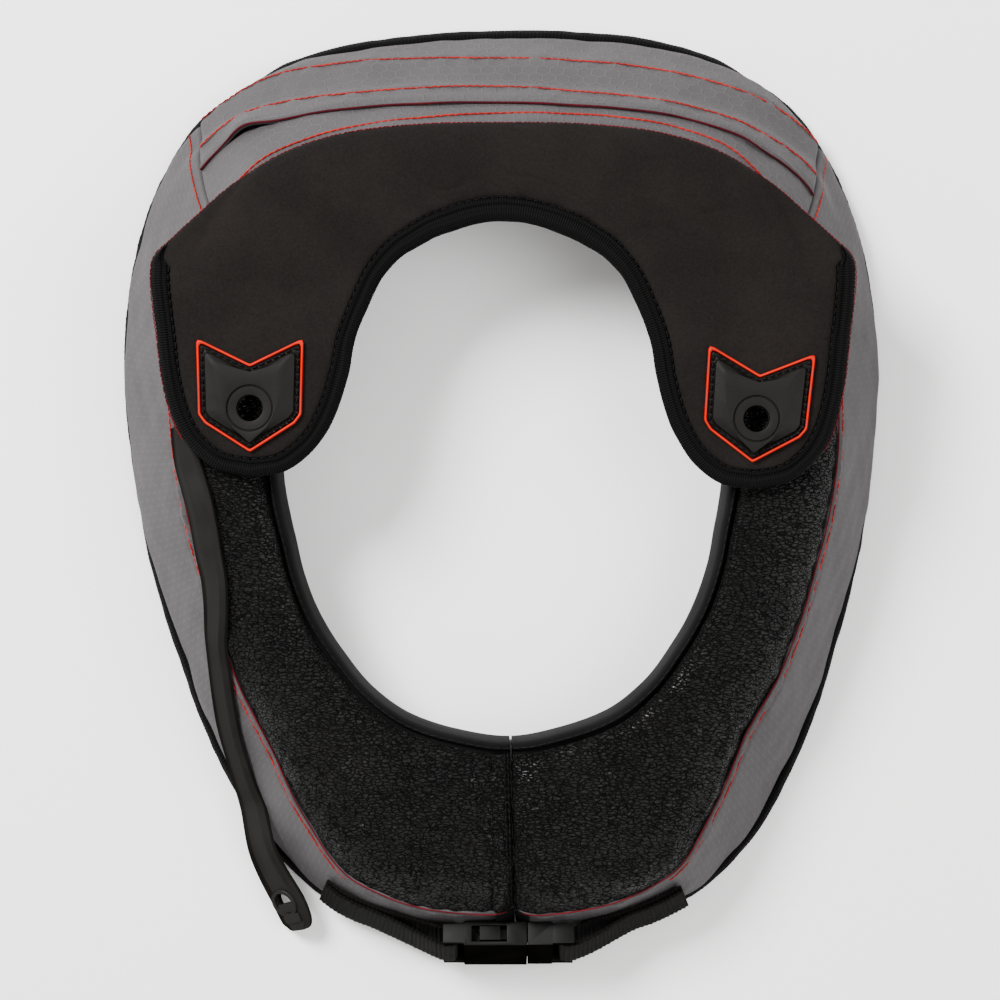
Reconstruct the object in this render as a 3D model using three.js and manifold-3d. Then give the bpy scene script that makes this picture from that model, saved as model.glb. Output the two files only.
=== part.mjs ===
import * as THREE from 'three';
import { mergeVertices } from 'three/addons/utils/BufferGeometryUtils.js';
import Module from 'manifold-3d';

const wasm = await Module();
wasm.setup();

// Millimetres. The collar lies on its flat base: buckle towards -Y, back towards +Y, top up.
const clearance = 0.3;

// Ring
const halfWidth = 141;
const centreY = 17.4;
const backHeight = 61;
const backReach = 178;
const cover = 1.6;
const crownDrop = 7;
const bandWidth = 3.5;
const wallBulge = 1.5;
const tapeHigh = 4.7;
const tapeThick = 2;
const endGap = 0.7;
const endReach = 9;
const endRound = 3.5;
const leftSeamIn = 4;
const crossRight = 124.4;
const crossLeft = 130.4;
const crossSlant = 9.7;
const crossGap = 0.26;
const ringTurn = 1.5;
const foldDeep = 2.4;
const pocketGap = 1.1;
const pocketProud = 0.9;
const tapeTuck = 2.2;

// Reaches from the ring's centre as shares of halfWidth, by the angle from the front in degrees.
const ringTable = [
  { angle: 0, inner: 0.766, seam: 1.22, foot: 1.291 },
  { angle: 10, inner: 0.757, seam: 1.222, foot: 1.309 },
  { angle: 20, inner: 0.749, seam: 1.199, foot: 1.305 },
  { angle: 30, inner: 0.724, seam: 1.094, foot: 1.252 },
  { angle: 40, inner: 0.687, seam: 0.987, foot: 1.165 },
  { angle: 50, inner: 0.657, seam: 0.937, foot: 1.089 },
  { angle: 60, inner: 0.626, seam: 0.897, foot: 1.032 },
  { angle: 70, inner: 0.601, seam: 0.872, foot: 1.008 },
  { angle: 80, inner: 0.593, seam: 0.868, foot: 1.006 },
  { angle: 90, inner: 0.591, seam: 0.875, foot: 1.016 },
  { angle: 100, inner: 0.593, seam: 0.889, foot: 1.046 },
  { angle: 110, inner: 0.601, seam: 0.911, foot: 1.088 },
  { angle: 120, inner: 0.612, seam: 0.94, foot: 1.14 },
  { angle: 130, inner: 0.623, seam: 0.972, foot: 1.191 },
  { angle: 140, inner: 0.631, seam: 0.982, foot: 1.224 },
  { angle: 150, inner: 0.636, seam: 0.95, foot: 1.203 },
  { angle: 160, inner: 0.639, seam: 0.909, foot: 1.174 },
  { angle: 170, inner: 0.642, seam: 0.88, foot: 1.144 },
  { angle: 180, inner: 0.642, seam: 0.87, foot: 1.133 },
];

// How far the seam lies out or in on the right, as shares of halfWidth.
const rightSeamTable = [
  { angle: 0, out: 0.005 },
  { angle: 12, out: 0.004 },
  { angle: 19, out: 0.001 },
  { angle: 27, out: -0.013 },
  { angle: 34, out: -0.016 },
  { angle: 50, out: -0.005 },
  { angle: 75, out: 0 },
];

// Height of the top's highest line as a share of backHeight, by place along Y as a share of backReach.
const heightTable = [
  { along: -1, high: 0.705 },
  { along: -0.67, high: 0.697 },
  { along: -0.34, high: 0.721 },
  { along: -0.08, high: 0.8 },
  { along: 0.02, high: 0.836 },
  { along: 0.43, high: 0.836 },
  { along: 0.5, high: 0.856 },
  { along: 0.6, high: 0.905 },
  { along: 0.72, high: 0.962 },
  { along: 0.84, high: 0.993 },
  { along: 1, high: 1 },
];

// Drop of the domed top below that line as a share of crownDrop, from the inner edge to the seam.
const crownTable = [
  { across: 0, drop: 0.72 },
  { across: 0.1, drop: 0.32 },
  { across: 0.28, drop: 0.05 },
  { across: 0.48, drop: 0 },
  { across: 0.68, drop: 0.1 },
  { across: 0.84, drop: 0.36 },
  { across: 0.93, drop: 0.64 },
  { across: 1, drop: 1 },
];

// Soft folds of the back wall as shares of foldDeep, from the seam down to the foot.
const foldTable = [
  { down: 0, out: 0 },
  { down: 0.1, out: 0.35 },
  { down: 0.3, out: 0.3 },
  { down: 0.45, out: -1 },
  { down: 0.62, out: 0.1 },
  { down: 0.8, out: -0.2 },
  { down: 1, out: 0 },
];

// Hem of the back pocket panel and its two seams, as places down the wall by degrees from the middle.
const seamTable = [
  { away: -57, hem: 0.348, upper: 0.518, lower: 0.84 },
  { away: -48, hem: 0.239, upper: 0.4, lower: 0.754 },
  { away: -42, hem: 0.142, upper: 0.304, lower: 0.687 },
  { away: -34, hem: 0.084, upper: 0.23, lower: 0.616 },
  { away: -18, hem: 0.05, upper: 0.185, lower: 0.556 },
  { away: 0, hem: 0.073, upper: 0.235, lower: 0.58 },
  { away: 18, hem: 0.128, upper: 0.287, lower: 0.682 },
  { away: 26, hem: 0.18, upper: 0.355, lower: 0.739 },
  { away: 34, hem: 0.255, upper: 0.458, lower: 0.804 },
  { away: 42, hem: 0.36, upper: 0.56, lower: 0.847 },
  { away: 51, hem: 0.392, upper: 0.585, lower: 0.868 },
];

// Yoke: the padded neoprene horseshoe, half of it in rows from a tab's foot to the middle of the back.
const yokeHalf = 128.4;
const yokeFootY = 7.3;
const yokeLong = 128.2;
const yokeThick = 4.5;
const yokeLift = 1.2;
const bindingTab = 6.5;
const bindingBack = 8.6;
const bindingProud = 0.8;
const rightTabLow = 4.4;
const yokeTable = [
  { outX: 0.725, outY: 0, inX: 0.7025, inY: 0 },
  { outX: 0.81, outY: 0.019, inX: 0.623, inY: 0.013 },
  { outX: 0.867, outY: 0.058, inX: 0.561, inY: 0.053 },
  { outX: 0.912, outY: 0.112, inX: 0.512, inY: 0.107 },
  { outX: 0.946, outY: 0.189, inX: 0.47, inY: 0.189 },
  { outX: 0.969, outY: 0.291, inX: 0.438, inY: 0.291 },
  { outX: 0.981, outY: 0.388, inX: 0.419, inY: 0.388 },
  { outX: 0.993, outY: 0.484, inX: 0.382, inY: 0.484 },
  { outX: 1, outY: 0.569, inX: 0.348, inY: 0.555 },
  { outX: 0.99, outY: 0.628, inX: 0.317, inY: 0.594 },
  { outX: 0.936, outY: 0.682, inX: 0.28, inY: 0.628 },
  { outX: 0.866, outY: 0.745, inX: 0.24, inY: 0.651 },
  { outX: 0.758, outY: 0.835, inX: 0.195, inY: 0.676 },
  { outX: 0.611, outY: 0.921, inX: 0.146, inY: 0.694 },
  { outX: 0.442, outY: 0.973, inX: 0.101, inY: 0.709 },
  { outX: 0.231, outY: 0.996, inX: 0.051, inY: 0.72 },
  { outX: 0, outY: 1, inX: 0, inY: 0.724 },
];

// Shield patches on the tabs
const patchX = 0.7165 * yokeHalf;
const patchY = yokeFootY + 0.194 * yokeLong;
const patchWide = 0.304 * yokeHalf;
const patchHigh = 0.3195 * yokeHalf;
const patchBase = 1.3;
const patchRaise = 1.9;
const patchRim = 0.9;
const patchFlange = 4;
const patchHole = 4.7;
const patchRing = 8.2;
const rightPatchTurn = -5;
const patchTable = [
  { x: -0.5, y: 0.622 },
  { x: 0, y: 0.39 },
  { x: 0.5, y: 0.62 },
  { x: 0.482, y: -0.055 },
  { x: 0.42, y: -0.135 },
  { x: 0, y: -0.39 },
  { x: -0.42, y: -0.135 },
  { x: -0.482, y: -0.055 },
];

// Rubber tether on the left, a strap that lies on the ring and ends in a tab with an eye
const strapWide = 11;
const strapThick = 3.4;
const tetherEye = 4;

// Front webbing and side-release buckle
const webWide = 20;
const webThick = 1.4;
const lean = 24 * Math.PI / 180;
const buckleX = 2;
const buckleY = centreY - 1.2795 * halfWidth;
const buckleZ = 17.6;
const buckleWide = 26;
const buckleThick = 9.2;
const buckleHalf = 24.35;
const barWide = 3.4;

const radians = (degrees) => degrees * Math.PI / 180;
const mix = (a, b, t) => a + (b - a) * t;

function ease(from, to, x) {
  const t = Math.min(1, Math.max(0, (x - from) / (to - from)));
  return t * t * (3 - 2 * t);
}

const crossOf = (angle) => (angle > 180 ? crossLeft : crossRight);

// Smooth curve through a table's column that never passes beyond its rows.
function column(table, key, name, x) {
  const last = table.length - 1;
  const at = Math.min(table[last][key], Math.max(table[0][key], x));
  let i = 0;
  while (i < last - 1 && at > table[i + 1][key]) i += 1;
  const pitch = (k) => (table[k + 1][name] - table[k][name]) / (table[k + 1][key] - table[k][key]);
  const slope = (k) => {
    if (k === 0 || k === last) return 0;
    const before = pitch(k - 1);
    const after = pitch(k);
    return before * after <= 0 ? 0 : 2 * before * after / (before + after);
  };
  const step = table[i + 1][key] - table[i][key];
  const t = (at - table[i][key]) / step;
  const a = (1 + 2 * t) * (1 - t) * (1 - t) * table[i][name] + t * (1 - t) * (1 - t) * step * slope(i);
  const b = t * t * (3 - 2 * t) * table[i + 1][name] + t * t * (t - 1) * step * slope(i + 1);
  return a + b;
}

// Even-stepped rows blended with a Catmull-Rom curve, by row number.
function blend(table, name, row) {
  const last = table.length - 1;
  const i = Math.min(last - 1, Math.floor(row));
  const t = row - i;
  const b = table[i][name];
  const c = table[i + 1][name];
  const a = i > 0 ? table[i - 1][name] : 2 * b - c;
  const d = i < last - 1 ? table[i + 2][name] : (Math.abs(c) < 1e-9 ? -b : b);
  return 0.5 * (2 * b + (c - a) * t + (2 * a - 5 * b + 4 * c - d) * t * t + (3 * b - a - 3 * c + d) * t * t * t);
}

function ring(angle) {
  const a = angle > 180 ? 360 - angle : angle;
  const shift = angle > 180 ? -leftSeamIn * ease(35, 70, a) * (1 - ease(85, 125, a))
    : halfWidth * column(rightSeamTable, 'angle', 'out', a);
  const lean = crossSlant * (1 - Math.min(1, Math.abs(a - crossOf(angle)) / 26));
  return {
    inner: halfWidth * column(ringTable, 'angle', 'inner', a),
    seam: halfWidth * column(ringTable, 'angle', 'seam', a) + shift,
    foot: halfWidth * column(ringTable, 'angle', 'foot', a + lean),
    back: ease(crossOf(angle) - 10, crossOf(angle) + 10, a),
    slant: angle > 180 ? lean : -lean,
  };
}

// A place down the wall, drawn so that the hem and seams fall where foldTable has them.
function foldPlace(angle, down) {
  const away = angle - 180;
  const from = [0, ...['hem', 'upper', 'lower'].map((name) => column(seamTable, 'away', name, away)), 1];
  const to = [0, 0.1, 0.3, 0.62, 1];
  let i = 0;
  while (i < 3 && down > from[i + 1]) i += 1;
  return mix(to[i], to[i + 1], (down - from[i]) / (from[i + 1] - from[i]));
}

const topHeight = (y) => backHeight * column(heightTable, 'along', 'high', y / backReach);

function endShare(angle, reach) {
  const x = Math.abs(reach * Math.sin(radians(angle)));
  return Math.cos(radians(angle)) > 0 && x < endReach ? (1 - x / endReach) ** 2 : 0;
}

// Reach and height of the outer skin: place 0 to 1 runs over the top, 1 to 2 down the wall.
function skin(angle, place) {
  const at = ring(angle);
  const start = at.inner + bandWidth;
  const t = Math.min(place, 1);
  const tuck = endRound * 0.6 * endShare(angle, at.seam);
  const reach = mix(start, at.seam - tuck * ease(0.6, 1, t), t);
  const y = centreY - reach * Math.cos(radians(angle));
  const high = topHeight(y) - crownDrop * column(crownTable, 'across', 'drop', t)
    - endRound * endShare(angle, reach);
  if (place <= 1) return [reach, high];
  const down = place - 1;
  const fold = at.back * foldDeep * column(foldTable, 'down', 'out', foldPlace(angle, down));
  const out = wallBulge * Math.sin(Math.PI * down) + fold;
  return [mix(reach, at.foot - tuck, down) + out, high * (1 - down)];
}

function offset(angle, place, distance) {
  const step = 0.004;
  const corner = place < 1 ? Math.min(1, place + step) : place + step;
  const a = skin(angle, place > 1 ? Math.max(1, place - step) : place - step);
  const b = skin(angle, corner);
  const long = Math.hypot(b[0] - a[0], b[1] - a[1]);
  const p = skin(angle, place);
  return [p[0] - (b[1] - a[1]) / long * distance, p[1] + (b[0] - a[0]) / long * distance];
}

// Turns a point about the ring's centre, because the ring lies a little turned under the yoke.
function turnRing(x, y, degrees) {
  const a = radians(degrees);
  const dy = y - centreY;
  return [x * Math.cos(a) - dy * Math.sin(a), centreY + x * Math.sin(a) + dy * Math.cos(a)];
}

// A point of the ring in space; the cross seams lean, so wall points turn a little with their depth.
function spot(angle, point, place = 1) {
  const turned = angle - ring(angle).slant * Math.min(1, Math.max(0, place - 1));
  const a = radians(turned);
  let x = point[0] * Math.sin(a);
  if (Math.cos(a) > 0 && Math.abs(x) < endGap / 2) x = (angle > 180 ? -1 : 1) * endGap / 2;
  return [...turnRing(x, centreY - point[0] * Math.cos(a), ringTurn), point[1]];
}

function solid(points, faces) {
  const geometry = new THREE.BufferGeometry();
  geometry.setAttribute('position', new THREE.Float32BufferAttribute(points.flat(), 3));
  geometry.setIndex(faces.flat());
  let volume = 0;
  for (const [i, j, k] of faces) {
    const [a, b, c] = [points[i], points[j], points[k]];
    volume += a[0] * (b[1] * c[2] - b[2] * c[1]) - a[1] * (b[0] * c[2] - b[2] * c[0])
      + a[2] * (b[0] * c[1] - b[1] * c[0]);
  }
  if (volume < 0) geometry.setIndex(faces.map(([i, j, k]) => [i, k, j]).flat());
  return geometry;
}

// Closed body through rows of section points, with flat ends. Ends are cut into triangles in their plane.
function loft(rows, closed = false) {
  const wide = rows[0].length;
  const points = rows.flat();
  const faces = [];
  const turns = closed ? rows.length : rows.length - 1;
  for (let i = 0; i < turns; i += 1) {
    for (let j = 0; j < wide; j += 1) {
      const a = i * wide + j;
      const b = i * wide + (j + 1) % wide;
      const c = ((i + 1) % rows.length) * wide + (j + 1) % wide;
      const d = ((i + 1) % rows.length) * wide + j;
      faces.push([a, b, c], [a, c, d]);
    }
  }
  if (!closed) {
    [0, rows.length - 1].forEach((r) => {
      const row = rows[r].map((p) => new THREE.Vector3(...p));
      const middle = row.reduce((sum, p) => sum.add(p), new THREE.Vector3()).divideScalar(wide);
      const normal = new THREE.Vector3();
      row.forEach((p, j) => {
        const q = row[(j + 1) % wide];
        normal.add(new THREE.Vector3().subVectors(p, middle).cross(new THREE.Vector3().subVectors(q, middle)));
      });
      normal.normalize();
      const side = new THREE.Vector3().subVectors(row[0], middle).normalize();
      const up = new THREE.Vector3().crossVectors(normal, side);
      const flat = row.map((p) => {
        const d = new THREE.Vector3().subVectors(p, middle);
        return new THREE.Vector2(d.dot(side), d.dot(up));
      });
      const cut = THREE.ShapeUtils.triangulateShape(flat, []);
      const first = r * wide;
      cut.forEach(([i, j, k]) => {
        const ccw = (flat[j].x - flat[i].x) * (flat[k].y - flat[i].y) - (flat[k].x - flat[i].x) * (flat[j].y - flat[i].y);
        const [m, n] = (ccw > 0) === (r === 0) ? [k, j] : [j, k];
        faces.push([first + i, first + m, first + n]);
      });
    });
  }
  return solid(points, faces);
}

const ringAngles = [0, 2, 5, 9, 14, 20, 26, 32, 38, 45, 52, 60, 68, 76, 84, 92, 100, 108, 115, 122, 128, 134,
  140, 147, 154, 161, 168, 174, 180];
const fullRing = [...ringAngles, ...ringAngles.slice(0, -1).reverse().map((a) => 360 - a)];

// A cover of even thickness on the skin between two places, or as far off the skin as a function of place says.
function coverRow(angle, places, from = 0) {
  const off = (place) => (typeof from === 'function' ? from(place) : from);
  const outer = places.map((place) => spot(angle, offset(angle, place, off(place)), place));
  const inner = places.map((place) => spot(angle, offset(angle, place, off(place) - cover), place));
  return [...outer, ...inner.reverse()];
}

const inBack = (angle) => angle > crossRight && angle < 360 - crossLeft;

// The place down the wall where its cloth meets the tape round the foot.
const wallEnd = (angle) => 2 - (tapeHigh + (inBack(angle) ? 2.6 : 1.4)) / skin(angle, 1)[1];

// Reach of the foot tape, which is tucked in under the sides.
function tapeFoot(angle) {
  const a = angle > 180 ? 360 - angle : angle;
  return skin(angle, 2)[0] - tapeTuck * ease(62, 84, a) * (1 - ease(140, 150, a));
}

// Places down the wall from the hem of the pocket panel to that end.
function wallSteps(angle) {
  const hem = 1 + column(seamTable, 'away', 'hem', angle - 180);
  return [0, 0.12, 0.26, 0.42, 0.6, 0.8, 1].map((share) => mix(hem, wallEnd(angle), share));
}

// How far the wall lies back under the pocket panel.
function recess(angle, place) {
  const away = angle - 180;
  const under = inBack(angle) && place > 1 + column(seamTable, 'away', 'hem', away) - 0.01;
  return under ? cover + pocketGap - pocketProud : 0;
}

// Body: cloth-covered foam with the bare inner wall, recessed under its covers.
function bodyRow(angle) {
  const at = ring(angle);
  const top = skin(angle, 0);
  const inner = at.inner;
  const under = -(cover + 1.35);
  const steps = wallSteps(angle);
  const places = [0.1, 0.28, 0.48, 0.7, 0.86, 0.98, mix(1, steps[0], 0.5), ...steps.slice(0, -1),
    mix(steps[5], steps[6], 0.6)];
  const deep = recess(angle, 1.9);
  const foot = tapeFoot(angle);
  const wallFoot = offset(angle, wallEnd(angle), under - deep - clearance)[0] - 0.5 * deep;
  return [
    spot(angle, [inner + 1.5, 0]),
    spot(angle, [inner, 2]),
    spot(angle, [inner, top[1] - 6]),
    spot(angle, [inner + 0.8, top[1] - 2.4]),
    spot(angle, [inner + 2.2, top[1] - 0.6]),
    spot(angle, [inner + bandWidth - 0.5, top[1] - 0.2]),
    spot(angle, [inner + bandWidth - 0.3, top[1] - cover - 0.9]),
    ...places.map((place) => spot(angle, offset(angle, place, under - recess(angle, place)), place)),
    spot(angle, [wallFoot, tapeHigh + 0.75], 1.9),
    spot(angle, [foot - tapeThick - 2.6, tapeHigh + 0.1], 2),
    spot(angle, [foot - tapeThick - 1.6, 0], 2),
  ];
}

function leatherEnd(angle) {
  const a = angle > 180 ? 360 - angle : angle;
  return mix(1, 0.78, ease(crossOf(angle) - 12, crossOf(angle) - 1.5, a));
}

function tapeRow(angle) {
  const foot = tapeFoot(angle);
  return [
    spot(angle, [foot - tapeThick - 1.2, 0], 2),
    spot(angle, [foot - 0.4, 0], 2),
    spot(angle, [foot, 0.8], 2),
    spot(angle, [foot - 1.9, tapeHigh], 2),
    spot(angle, [foot - tapeThick - 1.9, tapeHigh], 2),
  ];
}

// Yoke surface: flat over the tabs, following the top's dome towards the back.
function yokeUnder(atX, atY) {
  const [x, y] = turnRing(atX, atY, -ringTurn);
  const dy = centreY - y;
  const angle = Math.atan2(x, dy) * 180 / Math.PI;
  const turn = angle < 0 ? angle + 360 : angle;
  const at = ring(turn);
  const start = at.inner + bandWidth;
  const t = (Math.hypot(x, dy) - start) / (at.seam - start);
  const follow = ease(yokeFootY + 0.536 * yokeLong, yokeFootY + 0.723 * yokeLong, y);
  const drop = t > 0.48 ? column(crownTable, 'across', 'drop', Math.min(t, 0.95)) * crownDrop : 0;
  const lift = mix(yokeLift, 0.9, follow * ease(0.5, 0.8, t));
  return topHeight(y) - drop * follow + lift;
}

function yokeEdge(side, row, inset) {
  const names = side === 'outer' ? ['outX', 'outY'] : ['inX', 'inY'];
  const at = (u) => [yokeHalf * blend(yokeTable, names[0], u), yokeFootY + yokeLong * blend(yokeTable, names[1], u)];
  const last = yokeTable.length - 1;
  const a = at(Math.max(0, row - 0.05));
  const b = at(Math.min(last, row + 0.05));
  const long = Math.hypot(b[0] - a[0], b[1] - a[1]);
  const turn = side === 'outer' ? 1 : -1;
  let normal = [-turn * (b[1] - a[1]) / long, turn * (b[0] - a[0]) / long];
  if (row === last) normal = [0, side === 'outer' ? -1 : 1];
  const p = at(row);
  return [p[0] + normal[0] * inset, p[1] + normal[1] * inset];
}

const bindingWidth = (row) => mix(bindingTab, bindingBack, ease(7, 13, row));
const outerWidth = (row) => bindingTab * (1 - ease(8.4, 9.9, row));

// The right tab hangs a little lower than the left one.
function hang(side, x, y) {
  const fade = 1 - ease(yokeFootY + 0.1 * yokeLong, yokeFootY + 0.528 * yokeLong, y);
  return [side * x, y - (side > 0 ? rightTabLow * fade : 0)];
}

const bumpRow = 9.6;
function panelRow(side, row) {
  const binding = bindingWidth(row) + clearance;
  const bound = (outerWidth(row) + clearance) * (1 - ease(bumpRow, bumpRow + 0.3, row));
  const outer = yokeEdge('outer', row, row === 0 ? bindingTab + clearance : bound);
  const inner = yokeEdge('inner', row, row === 0 ? bindingTab + clearance : binding);
  const top = [];
  const bottom = [];
  [0, 0.12, 0.3, 0.5, 0.7, 0.86, 1].forEach((t) => {
    const [x, y] = hang(side, mix(outer[0], inner[0], t), mix(outer[1], inner[1], t));
    const under = yokeUnder(x, y);
    top.push([x, y, under + yokeThick]);
    bottom.push([x, y, under]);
  });
  return [...top, ...bottom.reverse()];
}

function bindingRow(side, edge, row) {
  const width = edge === 'outer' ? outerWidth(row) : bindingWidth(row);
  const half = yokeThick / 2 + bindingProud;
  const shape = [[0, 0], [0.16, 0.72], [0.42, 1], [0.8, 0.92], [1, 0.6], [1, -0.6], [0.8, -0.92], [0.42, -1], [0.16, -0.72]];
  const root = yokeEdge(edge, row, width * 0.5);
  const [rootX, rootY] = hang(side, ...root);
  const level = yokeUnder(rootX, rootY) + yokeThick / 2;
  return shape.map(([along, up]) => {
    const p = yokeEdge(edge, row, width * along);
    const [x, y] = hang(side, ...p);
    return [x, y, level + half * up];
  });
}

// Manifold helpers
function toManifold(geometry) {
  const clean = geometry.clone();
  clean.deleteAttribute('normal');
  clean.deleteAttribute('uv');
  const merged = mergeVertices(clean, 1e-4);
  return new wasm.Manifold(new wasm.Mesh({
    numProp: 3,
    vertProperties: new Float32Array(merged.attributes.position.array),
    triVerts: new Uint32Array(merged.index.array),
  }));
}

function fromManifold(body) {
  const mesh = body.getMesh();
  const geometry = new THREE.BufferGeometry();
  geometry.setAttribute('position', new THREE.BufferAttribute(new Float32Array(mesh.vertProperties), 3));
  geometry.setIndex(new THREE.BufferAttribute(new Uint32Array(mesh.triVerts), 1));
  return geometry;
}

function box(x0, x1, y0, y1, z0, z1) {
  const geometry = new THREE.BoxGeometry(x1 - x0, y1 - y0, z1 - z0);
  geometry.translate((x0 + x1) / 2, (y0 + y1) / 2, (z0 + z1) / 2);
  return toManifold(geometry);
}

function drum(radius, x, y, z0, z1, sides = 20) {
  const geometry = new THREE.CylinderGeometry(radius, radius, z1 - z0, sides);
  geometry.rotateX(Math.PI / 2);
  geometry.translate(x, y, (z0 + z1) / 2);
  return toManifold(geometry);
}

function plate(outline, z0, z1) {
  const shape = new THREE.Shape(outline.map(([x, y]) => new THREE.Vector2(x, y)));
  const geometry = new THREE.ExtrudeGeometry(shape, { depth: z1 - z0, bevelEnabled: false });
  geometry.translate(0, 0, z0);
  return toManifold(geometry);
}

const brace = new THREE.Group();
brace.name = 'neck_brace';

const looks = {
  body: { color: 0x17181a, roughness: 0.85 },
  leather: { color: 0x1f211d, roughness: 0.42 },
  grey: { color: 0x7b797a, roughness: 0.8 },
  tape: { color: 0x131314, roughness: 0.8 },
  neoprene: { color: 0x2b2623, roughness: 0.92 },
  binding: { color: 0x121213, roughness: 0.75 },
  rubber: { color: 0x2f2c2a, roughness: 0.55 },
  red: { color: 0xd8421f, roughness: 0.6 },
  web: { color: 0x1b1a18, roughness: 0.9 },
  plastic: { color: 0x2b2a28, roughness: 0.5 },
};

function add(name, geometry, look) {
  const material = new THREE.MeshStandardMaterial({ ...looks[look], metalness: 0 });
  const mesh = new THREE.Mesh(geometry, material);
  mesh.name = name;
  brace.add(mesh);
  return mesh;
}

// Ring pieces
add('collar_body', loft(fullRing.map(bodyRow)), 'body');
add('leather_top', loft(fullRing.map((a) => {
  const end = leatherEnd(a);
  return coverRow(a, [0.02, 0.1, 0.28, 0.48, 0.7, 0.86, 1].map((share) => share * end));
})), 'leather');
add('base_tape', loft(fullRing.map(tapeRow)), 'tape');
const wallPlaces = (a) => [1.03, 1.2, 1.46, 1.7, wallEnd(a)];
const sideAngles = (cross) => [...ringAngles.filter((a) => a < cross - 2), cross - crossGap];
add('side_wall_right', loft(sideAngles(crossRight).map((a) => coverRow(a, wallPlaces(a)))), 'grey');
add('side_wall_left', loft(sideAngles(crossLeft).map((a) => coverRow(360 - a, wallPlaces(360 - a)))), 'grey');
const backAngles = [crossRight + crossGap, ...fullRing.filter((a) => a > crossRight + 2 && a < 358 - crossLeft),
  360 - crossLeft - crossGap];
add('back_wall', loft(backAngles.map((a) => {
  const steps = wallSteps(a);
  return coverRow(a, [0.8, 0.9, 0.98, mix(1, steps[0], 0.5), ...steps], (place) => -recess(a, place));
})), 'grey');
add('back_pocket_panel', loft(backAngles.map((a) => coverRow(a, wallSteps(a), pocketProud))), 'grey');

// Yoke
const yokeRows = [0, 0.5, 1.1, 1.8, 2.6, 3.4, 4.2, 5, 6, 7, 7.7, 8.4, 8.8, 9.2, 9.6, 9.9, 10.5, 11, 12, 13, 14, 15, 16];
const yokeHalfRows = (side) => yokeRows.map((row) => panelRow(side, row));
const panel = loft([...yokeHalfRows(1), ...yokeHalfRows(-1).slice(0, -1).reverse()]);
const holeAt = (side) => hang(side, patchX, patchY);
let yokeBody = toManifold(panel);
[1, -1].forEach((side) => {
  const [x, y] = holeAt(side);
  yokeBody = yokeBody.subtract(drum(patchHole, x, y, 0, 2 * backHeight));
});
add('yoke_panel', fromManifold(yokeBody), 'neoprene');
const edgePath = [
  ...yokeRows.filter((row) => row > 0 && row <= bumpRow).reverse().map((row) => ['outer', row]),
  ...yokeRows.map((row) => ['inner', row]),
];
const bindingHalf = (side) => edgePath.map(([edge, row]) => bindingRow(side, edge, row));
add('yoke_binding', loft([...bindingHalf(1), ...bindingHalf(-1).slice(0, -1).reverse()]), 'binding');

// Patches: stitched flange, raised shield with a flat ring round the eye, and a thin bright rim round the flange.
const patchOutline = (grow) => {
  const points = patchTable.map(({ x, y }) => [patchWide * x, patchHigh * y]);
  return points.map((p, i) => {
    const a = points[(i + points.length - 1) % points.length];
    const b = points[(i + 1) % points.length];
    const u = [p[0] - a[0], p[1] - a[1]];
    const v = [b[0] - p[0], b[1] - p[1]];
    const lu = Math.hypot(...u);
    const lv = Math.hypot(...v);
    const n1 = [-u[1] / lu, u[0] / lu];
    const n2 = [-v[1] / lv, v[0] / lv];
    const k = grow / (1 + n1[0] * n2[0] + n1[1] * n2[1]);
    return [p[0] + (n1[0] + n2[0]) * k, p[1] + (n1[1] + n2[1]) * k];
  });
};
const seatZ = yokeUnder(patchX, patchY) + yokeThick + clearance;
[['left', -1, 0], ['right', 1, rightPatchTurn]].forEach(([name, side, turn]) => {
  const [x, y] = holeAt(side);
  const eye = drum(patchHole, 0, 0, -1, 9);
  const raised = plate(patchOutline(-patchFlange), 0, patchBase + patchRaise);
  const ringSeat = drum(patchRing, 0, 0, patchBase + patchRaise - 0.5, 9, 24);
  const body = plate(patchOutline(-patchRim - 0.35), 0, patchBase).add(raised).subtract(ringSeat).subtract(eye);
  const rim = plate(patchOutline(0), 0, patchBase + 0.2).subtract(plate(patchOutline(-patchRim), -1, 9));
  const patch = add(`patch_${name}`, fromManifold(body), 'rubber');
  const edge = add(`patch_rim_${name}`, fromManifold(rim), 'red');
  [patch, edge].forEach((mesh) => {
    mesh.rotation.z = radians(turn);
    mesh.position.set(x, y, seatZ);
  });
});

// Tether: rows with the middle of the strap, the way its face looks, its width and thickness.
const tetherTable = [
  { angle: 87, place: 0.85, wide: 1 },
  { angle: 80, place: 0.8, wide: 1 },
  { angle: 76, place: 0.8, wide: 1 },
  { angle: 71, place: 0.83, wide: 1 },
  { angle: 65.5, place: 0.87, wide: 1 },
  { angle: 61, place: 0.93, wide: 1 },
  { angle: 56.5, place: 1.02, wide: 1 },
  { angle: 52, place: 1.12, wide: 1 },
  { angle: 48, place: 1.24, wide: 1 },
  { angle: 44.2, place: 1.38, wide: 1 },
  { angle: 40.3, place: 1.5, wide: 1 },
  { angle: 37.6, place: 1.59, wide: 1.05 },
  { angle: 35, place: 1.67, wide: 1.23 },
];
const tetherTabTable = [
  { angle: 31.4, reach: 1.244, high: 0.197, roll: 51, wide: 1.41 },
  { angle: 28.6, reach: 1.291, high: 0.162, roll: 46, wide: 1.455 },
  { angle: 25.6, reach: 1.338, high: 0.136, roll: 42, wide: 1.455 },
  { angle: 23.8, reach: 1.376, high: 0.12, roll: 39, wide: 1.29 },
  { angle: 23.1, reach: 1.394, high: 0.11, roll: 38, wide: 0.86 },
];
const strapShape = [[-0.5, -0.5], [-0.5, 0.1], [-0.36, 0.5], [0.2, 0.5], [0.5, 0], [0.5, -0.5]];
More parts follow.
